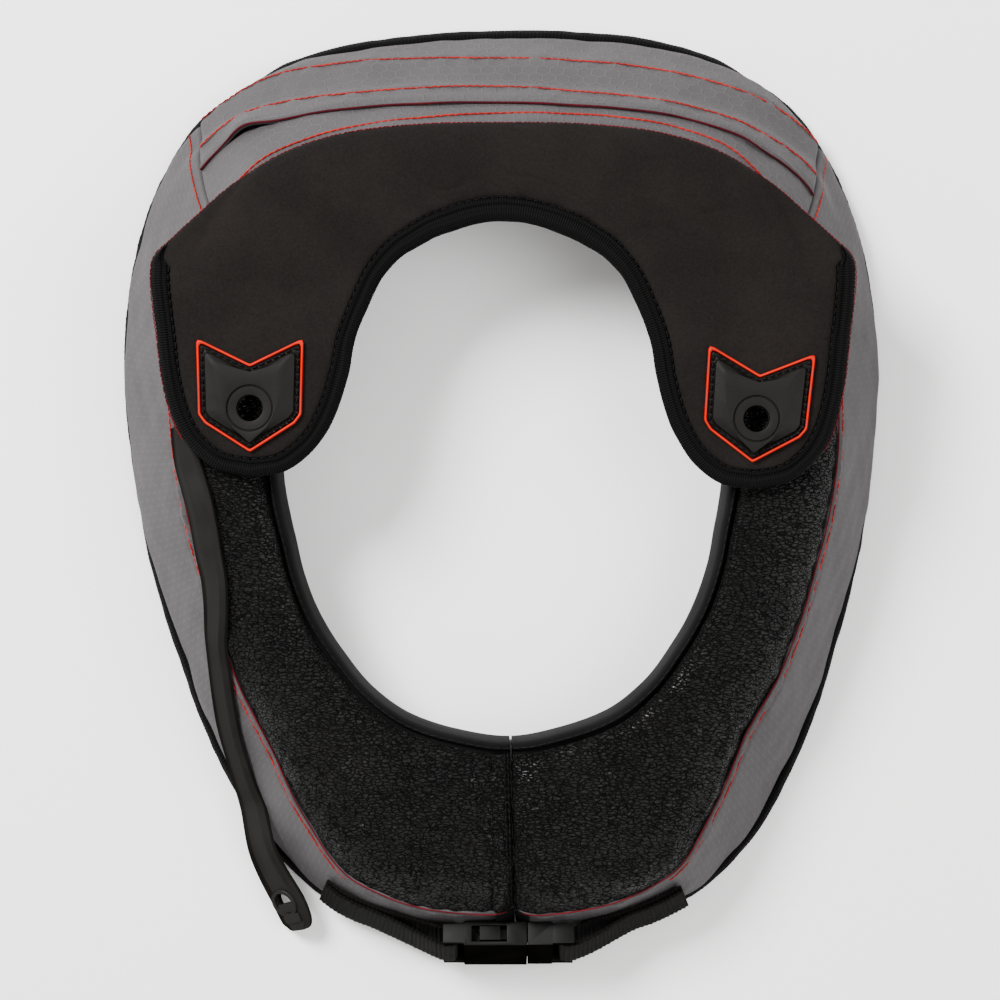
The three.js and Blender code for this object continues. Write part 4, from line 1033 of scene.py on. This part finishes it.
# Shield patches
patch = {
    "x": .7165 * yoke["half"], "y": yoke["footY"] + .194 * yoke["long"], "wide": .304 * yoke["half"],
    "high": .3195 * yoke["half"], "base": 1.3, "raise": 1.9, "rim": .9, "hole": 4.7, "ringOut": 8.2,
    "rightTurn": -5.0, "directions": 192,
}
patchCorners = np.array([(-.5, .622), (0, .39), (.5, .62), (.482, -.055), (.42, -.135), (0, -.39),
                         (-.42, -.135), (-.482, -.055)])
panelCorners = np.array([(-13.6, 16.9), (.1, 13.1), (13.2, 16.6), (11.6, 4.5), (9.3, -1.5), (6.4, -7.0),
                         (0, -12.6), (-6.4, -7.0), (-9.3, -1.5), (-11.6, 4.5)])


def insetOutline(corners, inset):
    before, after = np.roll(corners, 1, 0), np.roll(corners, -1, 0)
    first, second = unit(corners - before), unit(after - corners)
    turn = lambda way: np.stack([-way[:, 1], way[:, 0]], -1)
    area = np.sum(corners[:, 0] * after[:, 1] - after[:, 0] * corners[:, 1])
    normals = (turn(first) + turn(second)) * (1 if area > 0 else -1)
    return corners + normals * inset / (1 + np.sum(turn(first) * turn(second), -1, keepdims=True))


def outlineReach(corners, ways):  # distance from the eye's centre to the outline, by direction
    reach = np.full(len(ways), 1e9)
    for a, b in zip(corners, np.roll(corners, -1, 0)):
        edge = b - a
        cross = ways[:, 0] * edge[1] - ways[:, 1] * edge[0]
        safe = np.where(np.abs(cross) < 1e-9, 1e-9, cross)
        far = (a[0] * edge[1] - a[1] * edge[0]) / safe
        on = (a[0] * ways[:, 1] - a[1] * ways[:, 0]) / safe
        reach = np.where((far > 0) & (on >= -1e-6) & (on <= 1 + 1e-6), np.minimum(reach, far), reach)
    return reach


def softened(reach):
    return .25 * np.roll(reach, 1) + .5 * reach + .25 * np.roll(reach, -1)


def makePatch(name, side, turn, node):
    corners = patchCorners * (patch["wide"], patch["high"])
    turns = np.linspace(0, 2 * math.pi, patch["directions"], endpoint=False)
    ways = np.stack([np.cos(turns), np.sin(turns)], -1)
    far = lambda inset: softened(outlineReach(insetOutline(corners, inset), ways))
    base, top = patch["base"], patch["base"] + patch["raise"]
    hole, ringOut, rim = patch["hole"] + 0 * turns, patch["ringOut"] + 0 * turns, patch["rim"]
    panel = np.maximum(softened(outlineReach(panelCorners, ways)), ringOut + .9)
    shieldEdge = far(3.1)
    stations = [
        (hole, 0), (hole, .8), (hole, top - .9), (hole + .15, top - .55), (hole + .5, top - .42),
        (ringOut - .35, top - .42), (ringOut - .12, top - .75), (ringOut + .12, top - .75),
        (ringOut + .35, top - .12), (ringOut + .8, top), (mix(ringOut + .8, panel, .5), top),
        (panel - .25, top), (panel, top - .06), (mix(panel, shieldEdge, .33), top - .42),
        (mix(panel, shieldEdge, .66), top - .82), (shieldEdge, top - 1.2),
        (far(2.9), top - 1.6), (far(2.7), base - .1), (far(2.4), base - .35), (far(1.95), base - .45),
        (far(1.6), base - .35), (far(1.4), base - .3), (far(rim + .3), base - .55), (far(rim + .3), 0)]
    x, y = hang(side, patch["x"], patch["y"])
    seat = yokeUnder(*[np.array(v) for v in (patch["x"], patch["y"])]) + yoke["thick"] + .3
    c, s = math.cos(math.radians(turn)), math.sin(math.radians(turn))

    def placed(section):
        reach = np.stack([far for far, high in section], 1)
        up = np.stack([high + 0 * far for far, high in section], 1)
        px, py = ways[:, :1] * reach, ways[:, 1:] * reach
        return np.stack([px * c - py * s + x, px * s + py * c + y, up + seat], -1)

    piece = makePiece(name, placed(stations), materials["patch"], ring_=True, sharp=24)
    finishPiece(piece, "patch_rubber", node)
    outer, inner = far(0), far(rim)
    section = [(inner, 0), (inner, base - .25), (mix(inner, outer, .18), base + .05),
               (mix(inner, outer, .5), base + .2), (mix(inner, outer, .82), base + .05), (outer, base - .25),
               (outer, 0)]
    rimName = name.replace("patch", "patchRim")
    rimPiece = makePiece(rimName, placed(section), materials["rim"], ring_=True, sharp=60)
    finishPiece(rimPiece, "patch_rim", node.replace("patch", "patch_rim"))
    path = placed([(far(1.9), base - .3)])[:, 0]
    return np.concatenate([path, path[:1]])


makeYokePanel()
makeYokeBinding()
flangePaths = [makePatch("patchLeft", -1, 0.0, "patch_left"),
               makePatch("patchRight", 1, patch["rightTurn"], "patch_right")]
print("yoke and patches made")

# Rubber tether
tether = {"wide": 11.0, "thick": 3.4, "eye": 4.0}
tetherRows = [  # angle from the front on the left, place on the skin, width as a share
    (94, .885, .85), (91, .872, .95), (87, .85, 1), (80, .8, 1), (76, .8, 1), (71, .83, 1), (65.5, .87, 1),
    (61, .93, 1), (56.5, 1.02, 1), (52, 1.12, 1), (48, 1.24, 1), (44.2, 1.38, 1), (40.3, 1.5, 1),
    (37.6, 1.59, 1.05), (35, 1.67, 1.23)]
tabRows = [  # angle, reach as a share of halfWidth, height of backHeight, roll in degrees, width as a share
    (31.4, 1.244, .197, 51, 1.41), (28.6, 1.291, .162, 46, 1.455), (25.6, 1.338, .136, 42, 1.455),
    (23.8, 1.376, .12, 39, 1.29), (23.1, 1.394, .11, 38, .86)]


def tetherNodes():
    at, up, wide = [], [], []
    for angle, place, share in tetherRows:
        angle = np.array(360.0 - angle - ring["turn"])
        lift = .5 + 1.1 * float(ease(.9, 1.05, place)) + tether["thick"] / 2
        at.append(onSkin(angle, place, lift))
        up.append(unit(onSkin(angle, place, lift + 1) - at[-1]))
        wide.append(share * tether["wide"])
    for angle, reach, high, roll, share in tabRows:
        at.append(spot(360.0 - ring["turn"] - angle, reach * ring["halfWidth"], high * ring["backHeight"]))
        roll = math.radians(roll)
        up.append(np.array((-.8 * math.sin(roll), -.6 * math.sin(roll), math.cos(roll))))
        wide.append(share * tether["wide"])
    return np.array(at), np.array(up), np.array(wide)


def throughPoints(values, positions):  # Catmull-Rom through evenly numbered values
    last = len(values) - 1
    i = np.clip(np.floor(positions).astype(int), 0, last - 1)
    t = (positions - i).reshape(-1, *[1] * (values.ndim - 1))
    b, c = values[i], values[i + 1]
    a = values[np.maximum(i - 1, 0)]
    d = values[np.minimum(i + 2, last)]
    return catmull(a, b, c, d, t)


def makeTether():
    at, up, wide = tetherNodes()
    count = len(at)
    positions = np.concatenate([np.linspace(0, count - 3, 150), np.linspace(count - 3, count - 1, 24)[1:]])
    at, up, wide = throughPoints(at, positions), throughPoints(up, positions), throughPoints(wide, positions)
    way = unit(np.gradient(at, axis=0))
    across = unit(np.cross(way, up))
    up = unit(np.cross(across, way))
    shape = np.array([
        (-.47, -.5), (-.5, -.42), (-.5, 0), (-.475, .14), (-.39, .43), (-.35, .5), (0, .5), (.17, .5),
        (.215, .47), (.47, .07), (.5, 0), (.5, -.42), (.47, -.5), (0, -.5)])
    points = (at[:, None] + across[:, None] * (shape[None, :, :1] * wide[:, None, None])
              + up[:, None] * (shape[None, :, 1:] * tether["thick"]))
    piece = makePiece("tetherStrap", points, materials["strap"], sharp=22)
    eyeAt, eyeUp, eyeWay = (v[np.argmin(np.abs(positions - (count - 3)))] for v in (at, up, way))
    eyeSide = np.cross(eyeUp, eyeWay)
    turn = np.linspace(0, 2 * math.pi, 40, endpoint=False)[:, None]
    around = eyeSide * np.cos(turn) + eyeWay * np.sin(turn)

    drill = np.stack([eyeAt + around * tether["eye"] + eyeUp * h for h in (-12.0, 12.0)], 0)
    cutAway(piece, [makePiece("eyeCut", drill, materials["strap"])])
    finishPiece(piece, "strap_rubber", "tether_strap")
    half = tether["thick"] / 2
    section = [(4.02, half - .6), (4.02, half + .45), (4.3, half + .75), (5.6, half + .75), (5.95, half + .4),
               (5.95, half - .6)]
    rings = np.stack([eyeAt + around * r + eyeUp * h for r, h in section], 1)
    finishPiece(makePiece("tetherEyelet", rings, materials["strap"], ring_=True, sharp=35), "strap_rubber")


def makeTetherSteps():  # raised steps above the end tab
    look = {"long": 3.0, "share": .33, "farShare": .6, "high": .85, "rounding": .35, "inset": .5}
    half = tether["thick"] / 2
    at, up, wide = tetherNodes()
    for k, q in enumerate((17.2, 17.75)):
        p, u = (throughPoints(v, np.array([q]))[0] for v in (at, up))
        near, far = throughPoints(at, np.array([q - .2, q + .2]))
        ahead = unit(far - near)
        side = unit(np.cross(ahead, u))
        u = unit(np.cross(side, ahead))
        left = look["share"] * throughPoints(wide[:, None], np.array([q]))[0][0]
        right = left * look["farShare"]
        ends = []
        for s, edge in ((-1, True), (-1, False), (1, False), (1, True)):
            inset, high = (look["inset"], half + .75 * look["high"]) if edge else (0, half + look["high"])
            corner = [(-left, half - .5), (-left + inset, high), (right - inset, high), (right, half - .5)]
            shift = s * (look["long"] / 2 + (look["rounding"] if edge else -look["rounding"]))
            ends.append([p + ahead * shift + side * x + u * z for x, z in corner])
        block = makePiece(f"tetherStep{k + 1}", np.array(ends), materials["strap"], sharp=25)
        finishPiece(block, "strap_rubber")


makeTether()
makeTetherSteps()
print("tether made")

# Front webbing and buckle
web = {
    "wide": 20.0, "thick": 1.4, "lean": math.radians(24), "buckleX": 2.0,
    "buckleY": ring["centreY"] - 1.2795 * ring["halfWidth"], "buckleZ": 17.6, "buckleThick": 9.2,
    "buckleHalf": 24.35, "barWide": 3.4,
}


def webbingPath(side):
    endX = web["buckleX"] + side * web["buckleHalf"]
    barIn = endX - side * web["barWide"]
    thick = web["thick"]

    def wallAt(angle, out):
        turn = float(angle if side > 0 else 360 - angle) - ring["turn"]
        top = skin(turn, 1.0)[1]
        reach = skin(turn, 2 - web["buckleZ"] / top)[0]
        return spot(turn, reach + 1.0 + out, 0.0)[:2]

    barY = web["buckleY"] - web["buckleThick"] / 2 * math.cos(web["lean"])
    back, front = barY + 2.3 + thick / 2, barY - 2.3 - thick / 2
    outer = [wallAt(a, 1.5 * thick + .3) for a in (22.2, 20, 17.5, 15)]
    bend = wallAt(12, 2 * thick)[1]
    outer.append((barIn + side * web["buckleHalf"] / 2, mix(front - thick / 2, bend, .42) + thick / 2))
    turnX = barIn - side * .3
    loopX = turnX - side * thick * .6
    outer += [(endX, front), (turnX, front), (loopX, front + 1.0), (loopX, back - 1.0), (turnX, back),
              (endX, back)]
    inner = [wallAt(a, thick / 2) for a in (11, 13, 15, 17.5, 20, 22.2)]
    return np.array(outer + inner)


def webbingPoint(p, up):  # up runs from -1 to 1 over the width
    out = unit(p - np.array((0, ring["centreY"])))
    away = np.abs(p[..., 0] - web["buckleX"]) / web["buckleHalf"]
    near = 1 - ease(1.07, 1.9, away)[..., None]
    way = mix(out, np.array((0.0, -1.0)), near)
    shift = -up * web["wide"] / 2 * math.sin(web["lean"])
    z = (web["buckleZ"] + near[..., 0] * (web["buckleY"] - p[..., 1]) * math.tan(web["lean"])
         + up[..., 0] * web["wide"] / 2 * math.cos(web["lean"]))
    return np.concatenate([p + way * shift, z[..., None]], -1)


def makeWebbing(name, side, node):
    look = {"step": .3, "ribPitch": 1.7, "ribHigh": .16, "scallop": .28, "across": 15, "seed": 7}
    knots = webbingPath(side)
    fine = throughPoints(knots, np.linspace(0, len(knots) - 1, 1200))
    far = runLengths(fine, 0)
    stations = np.linspace(0, far[-1], int(far[-1] / look["step"]))
    path = np.stack([np.interp(stations, far, fine[:, k]) for k in (0, 1)], -1)
    way = unit(np.gradient(path, axis=0))
    normal = np.stack([-way[:, 1], way[:, 0]], -1)
    phase = 2 * math.pi * stations / look["ribPitch"]
    ribs = look["ribHigh"] * np.cos(phase)
    widths = np.linspace(-1, 1, look["across"])
    half = web["thick"] / 2
    random = np.random.default_rng(look["seed"])
    fray = np.cos(phase) * .5 + random.normal(size=len(stations)) * .35
    fray = look["scallop"] * fray / (web["wide"] / 2)
    columns = []
    for face, order in ((1, widths), (-1, widths[::-1])):
        for w in order:
            up = (w * (1 + np.abs(w) ** 8 * fray))[:, None]
            edge = 1 - .35 * abs(w) ** 6
            thread = .05 * np.cos(9 * math.pi * w + phase * .5)
            shifted = path + normal * (face * (half * edge + ribs * edge + thread))[:, None]
            columns.append(webbingPoint(shifted, up))
    piece = makePiece(name, np.stack(columns, 1), materials["web"], sharp=80)
    return finishPiece(piece, "webbing", node)


def makeBucklePart(name, node):
    look = {"edge": .0009, "steps": 3, "bevelFrom": 40, "sharpFrom": 35}
    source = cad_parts[node]
    piece = link(name, source.data.copy())
    work = bmesh.new()
    work.from_mesh(piece.data)
    bmesh.ops.transform(work, matrix=source.matrix_world, verts=work.verts)
    bmesh.ops.remove_doubles(work, verts=work.verts, dist=1e-6)
    bmesh.ops.dissolve_limit(work, angle_limit=math.radians(1), verts=work.verts, edges=work.edges)
    work.to_mesh(piece.data)
    work.free()
    bevel = piece.modifiers.new("softEdges", "BEVEL")
    bevel.width, bevel.segments = look["edge"], look["steps"]
    bevel.limit_method, bevel.angle_limit = "ANGLE", math.radians(look["bevelFrom"])
    settle(piece, name)
    piece.data.materials.clear()
    piece.data.materials.append(materials["plastic"])
    piece.data.polygons.foreach_set("use_smooth", np.ones(len(piece.data.polygons), bool))
    piece.data.set_sharp_from_angle(angle=math.radians(look["sharpFrom"]))
    return finishPiece(piece, "buckle_plastic", node)


makeWebbing("webbingRight", 1, "webbing_right")
makeWebbing("webbingLeft", -1, "webbing_left")
makeBucklePart("buckleSocket", "buckle_socket")
makeBucklePart("bucklePlug", "buckle_plug")
print("webbing and buckle made")


# Stitches: small arched threads set along a line by Geometry Nodes

def makeStitchTree():
    tree = bpy.data.node_groups.new("stitchRun", "GeometryNodeTree")
    face = tree.interface
    face.new_socket("Geometry", in_out="INPUT", socket_type="NodeSocketGeometry")
    sizes = {}
    kinds = {"Seed": "Int", "Thread": "Material"}
    for label in ("Pitch", "Length", "Thickness", "Arch", "Wander", "Seed", "Thread"):
        kind = "NodeSocket" + kinds.get(label, "Float")
        sizes[label] = face.new_socket(label, in_out="INPUT", socket_type=kind).identifier
    face.new_socket("Geometry", in_out="OUTPUT", socket_type="NodeSocketGeometry")
    given = tree.nodes.new("NodeGroupInput").outputs
    toCurve = addNode(tree, "GeometryNodeMeshToCurve", Mesh=given["Geometry"])
    spread = addNode(tree, "GeometryNodeCurveToPoints", {"mode": "LENGTH"}, Curve=toCurve.outputs[0],
                     Length=given["Pitch"])
    up = addNode(tree, "GeometryNodeInputNamedAttribute", {"data_type": "FLOAT_VECTOR"}, Name="up")
    aim = addNode(tree, "FunctionNodeAlignRotationToVector", {"axis": "X"}, Vector=spread.outputs["Tangent"])
    stand = addNode(tree, "FunctionNodeAlignRotationToVector", {"axis": "Z", "pivot_axis": "X"},
                    Rotation=aim.outputs[0], Vector=up.outputs[0])
    half = sums(tree, "MULTIPLY", given["Length"], .5)
    start = addNode(tree, "ShaderNodeCombineXYZ", X=sums(tree, "MULTIPLY", half, -1.0))
    middle = addNode(tree, "ShaderNodeCombineXYZ", Z=sums(tree, "MULTIPLY", given["Arch"], 2.0))
    end = addNode(tree, "ShaderNodeCombineXYZ", X=half)
    arc = addNode(tree, "GeometryNodeCurveQuadraticBezier", Resolution=4, Start=start.outputs[0],
                  Middle=middle.outputs[0], End=end.outputs[0])
    round_ = addNode(tree, "GeometryNodeCurvePrimitiveCircle", Resolution=6)
    tree.links.new(sums(tree, "MULTIPLY", given["Thickness"], .5), round_.inputs["Radius"])
    thread = addNode(tree, "GeometryNodeCurveToMesh", Curve=arc.outputs[0], Profile_Curve=round_.outputs[0],
                     Fill_Caps=True)
    soft = addNode(tree, "GeometryNodeSetShadeSmooth", Geometry=thread.outputs[0])
    rows = addNode(tree, "GeometryNodeInstanceOnPoints", Points=spread.outputs["Points"],
                   Instance=soft.outputs[0], Rotation=stand.outputs[0])
    swing = addNode(tree, "FunctionNodeRandomValue", {"data_type": "FLOAT_VECTOR"}, Seed=given["Seed"])
    swing.inputs[0].default_value, swing.inputs[1].default_value = (-.3, -.3, -1), (.3, .3, 1)
    turned = vectors(tree, "SCALE", swing.outputs[0])
    tree.links.new(given["Wander"], turned.node.inputs["Scale"])
    asTurn = addNode(tree, "FunctionNodeEulerToRotation", i0=turned)
    moved = addNode(tree, "GeometryNodeRotateInstances", Instances=rows.outputs[0],
                    Rotation=asTurn.outputs[0])
    solid = addNode(tree, "GeometryNodeRealizeInstances", Geometry=moved.outputs[0])
    coated = addNode(tree, "GeometryNodeSetMaterial", Geometry=solid.outputs[0])
    tree.links.new(given["Thread"], coated.inputs["Material"])
    addNode(tree, "NodeGroupOutput", Geometry=coated.outputs[0])
    return tree, sizes


stitchTree, stitchSizes = makeStitchTree()


def sewLine(name, runs, material, slot, pitch, length, thickness, arch, wander, seed):
    # each run is a pair of points along the line and the way out of the cloth at them
    places, ups, edges = [], [], []
    for path, up in runs:
        first = len(places)
        places += (path * mm).tolist()
        ups += up.tolist()
        edges += [(first + k, first + k + 1) for k in range(len(path) - 1)]
    mesh = bpy.data.meshes.new(name)
    mesh.from_pydata(places, edges, [])
    layer = mesh.attributes.new("up", "FLOAT_VECTOR", "POINT")
    layer.data.foreach_set("vector", np.array(ups, np.float32).ravel())
    piece = link(name, mesh)
    run = piece.modifiers.new("stitches", "NODES")
    run.node_group = stitchTree
    values = (pitch, length, thickness, arch, wander, seed, materials[material])
    for key, value in zip(stitchSizes.values(), values):
        run[key] = value
    settle(piece, name)
    finishPiece(piece, slot)


def skinRun(angles, places, lift):
    return onSkin(angles, places, lift), skinNormal(angles, places)


def flatRun(path):
    return path, np.tile((0, 0, 1.0), (len(path), 1))


def sewRing():
    size = (.0026, .0025, .00055, .0004, .12)  # pitch, length, thickness, arch, wander
    right, left = ring["crossRight"], 360 - ring["crossLeft"]
    sides = [skinRun(a, 1 + 3.1 / wallLong(a), -.15)
             for a in (np.linspace(20, right - 1, 400), np.linspace(338, left + 1, 400))]
    sewLine("topstitchSides", sides, "redThread", "grey_ripstop", *size, 3)
    back = np.linspace(right + 1.2, left - 1.2, 500)
    hem, rows = hemPlace(back), []
    for place in (hemPlace(back, 2), hemPlace(back, 3)):
        swell = pocketSwell(back, (place - hem) / (wallEnd(back) - hem))
        rows.append(skinRun(back, place, ring["pocketProud"] - .2 + swell))
    sewLine("topstitchBack", rows, "redThread", "grey_ripstop", *size, 4)
    upper = skinRun(np.linspace(128, 228, 440), .985, .1)
    sewLine("topstitchUpper", [upper], "redThread", "grey_ripstop", .0027, .0026, .0007, *size[3:], 5)
    down = np.linspace(1.02, 1.84, 60)
    crosses = [skinRun(0 * down + middle, down, .05) for middle in (right - 1.55, left + 1.55)]
    sewLine("topstitchCross", crosses, "redThread", "grey_ripstop", *size, 6)


def sewYoke():
    edge = np.linspace(3, lastRow, 900)
    fringe, ditch = [], []
    for side in (1, -1):
        x, y = hang(side, *yokeEdge(True, edge, .1))
        path = np.stack([x, y, yokeUnder(x, y) + yoke["thick"] - 1.35], -1)
        outward = unit(np.stack([x, y - ring["centreY"], 0 * x], -1))
        fringe.append((path, unit(outward + (0, 0, .8))))
        ditch.append(flatRun(bindingSection(side, bindingPath(1.0), np.array([(1.0, .62)]))[:, 0]))
    sewLine("fringeYoke", fringe, "wineThread", "grey_ripstop", .0016, .0017, .0004, .0004, .6, 7)
    sewLine("stitchBinding", ditch, "blackThread", "ribbed_binding", .0031, .0022, .0005, .0003, .06, 8)
    flanges = [flatRun(path) for path in flangePaths]
    sewLine("stitchPatches", flanges, "blackThread", "patch_rubber", .0027, .0019, .0007, .00045, .08, 9)


def sewLeather():
    angles = np.linspace(1, 359, 1400)
    band = spot(angles, ringAt(angles)[0] + ring["bandWidth"] - .9, skin(angles, 0.0)[1] - .2)
    sewLine("stitchBand", [flatRun(band)], "blackThread", "leatherette", .0034, .0024, .0005, .00035, .05, 10)
    runs = []
    for x in (-1.2, -2.5):
        reach = np.linspace(112, 168, 80)
        angle = 360 + np.degrees(np.arcsin(x / reach))
        start, seam = ringAt(angle)[0] + ring["bandWidth"], ringAt(angle)[1]
        place = (reach - start) / (seam - start)
        keep = (place > .03) & (place < .97)
        runs.append(skinRun(angle[keep], place[keep], .72))
    sewLine("stitchFrontSeam", runs, "blackThread", "leatherette", .0026, .002, .00055, .0005, .05, 11)


sewRing()
sewYoke()
sewLeather()
print("stitches sewn")


def makePiping():
    look = {"leather": .26, "hem": .42}
    spans = (("pipingRight", 1.0, ring["crossRight"] - 1), ("pipingLeft", 361 - ring["crossLeft"], 359))
    for name, start, end in spans:
        path = onSkin(np.linspace(start, end, 420), 1.004, -.05)
        finishPiece(makeTube(name, path, look["leather"], materials["wineThread"], 6), "leatherette")
    angles = backAngles(320)[:, 0]
    hem = hemPlace(angles)
    path = raised(onSkin(angles, hem - .004, ring["pocketProud"] - .3), angles, hem, pocketGape(angles, 0.0))
    finishPiece(makeTube("pipingHem", path, look["hem"], materials["winePiping"], 8), "grey_ripstop")


makePiping()
print("piping made")

# Studio
studio = {
    "distance": 1.3, "span": .37, "middleHeight": .035, "aimX": -.0011, "aimY": -.0012, "sensor": 36,
    "floor": 8, "room": (1, .985, .96, 1), "roomPower": 1.0,
    "lamps": (("keyLamp", (-1.0, .9, 1.4), .7, 100), ("fillLamp", (1.1, -.1, 1.6), 1.2, 30)),
}


def makeStudio():
    floorLook, tree, shader = newMaterial("paleFloor")
    haze = noise(tree, objectPlace(tree), 3.0, 3.0)
    pale = colourRamp(tree, haze, (.3, .93, .93, .935), (.7, .96, .96, .96))
    tree.links.new(pale, shader["Base Color"])
    shader["Roughness"].default_value = .8
    bpy.ops.mesh.primitive_plane_add(size=studio["floor"], location=(0, 0, cadLow.z - .0004))
    floor = bpy.context.object
    floor.name = "floor"
    floor.data.materials.append(floorLook)
    floor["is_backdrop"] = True
    world = bpy.data.worlds.new("softRoom")
    bpy.context.scene.world = world
    world.use_nodes = True
    background = world.node_tree.nodes["Background"].inputs
    background["Color"].default_value = studio["room"]
    background["Strength"].default_value = studio["roomPower"]
    for name, place, size, power in studio["lamps"]:
        lamp = bpy.data.lights.new(name, "AREA")
        lamp.size, lamp.energy = size, power
        made = link(name, lamp)
        made.location = place
        made.rotation_euler = (-Vector(place)).to_track_quat("-Z", "Y").to_euler()
    eye = bpy.data.cameras.new("photoCamera")
    eye.sensor_width = studio["sensor"]
    eye.lens = studio["sensor"] * (studio["distance"] - studio["middleHeight"]) / studio["span"]
    camera = link("photoCamera", eye)
    camera.location = (studio["aimX"], studio["aimY"], studio["distance"])
    bpy.context.scene.camera = camera


makeStudio()
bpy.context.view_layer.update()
for piece in sorted(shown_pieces(), key=lambda p: p.name):
    if piece.type == "MESH":
        print(piece.name, sum(len(f.vertices) - 2 for f in piece.data.polygons))
print("scene ready")
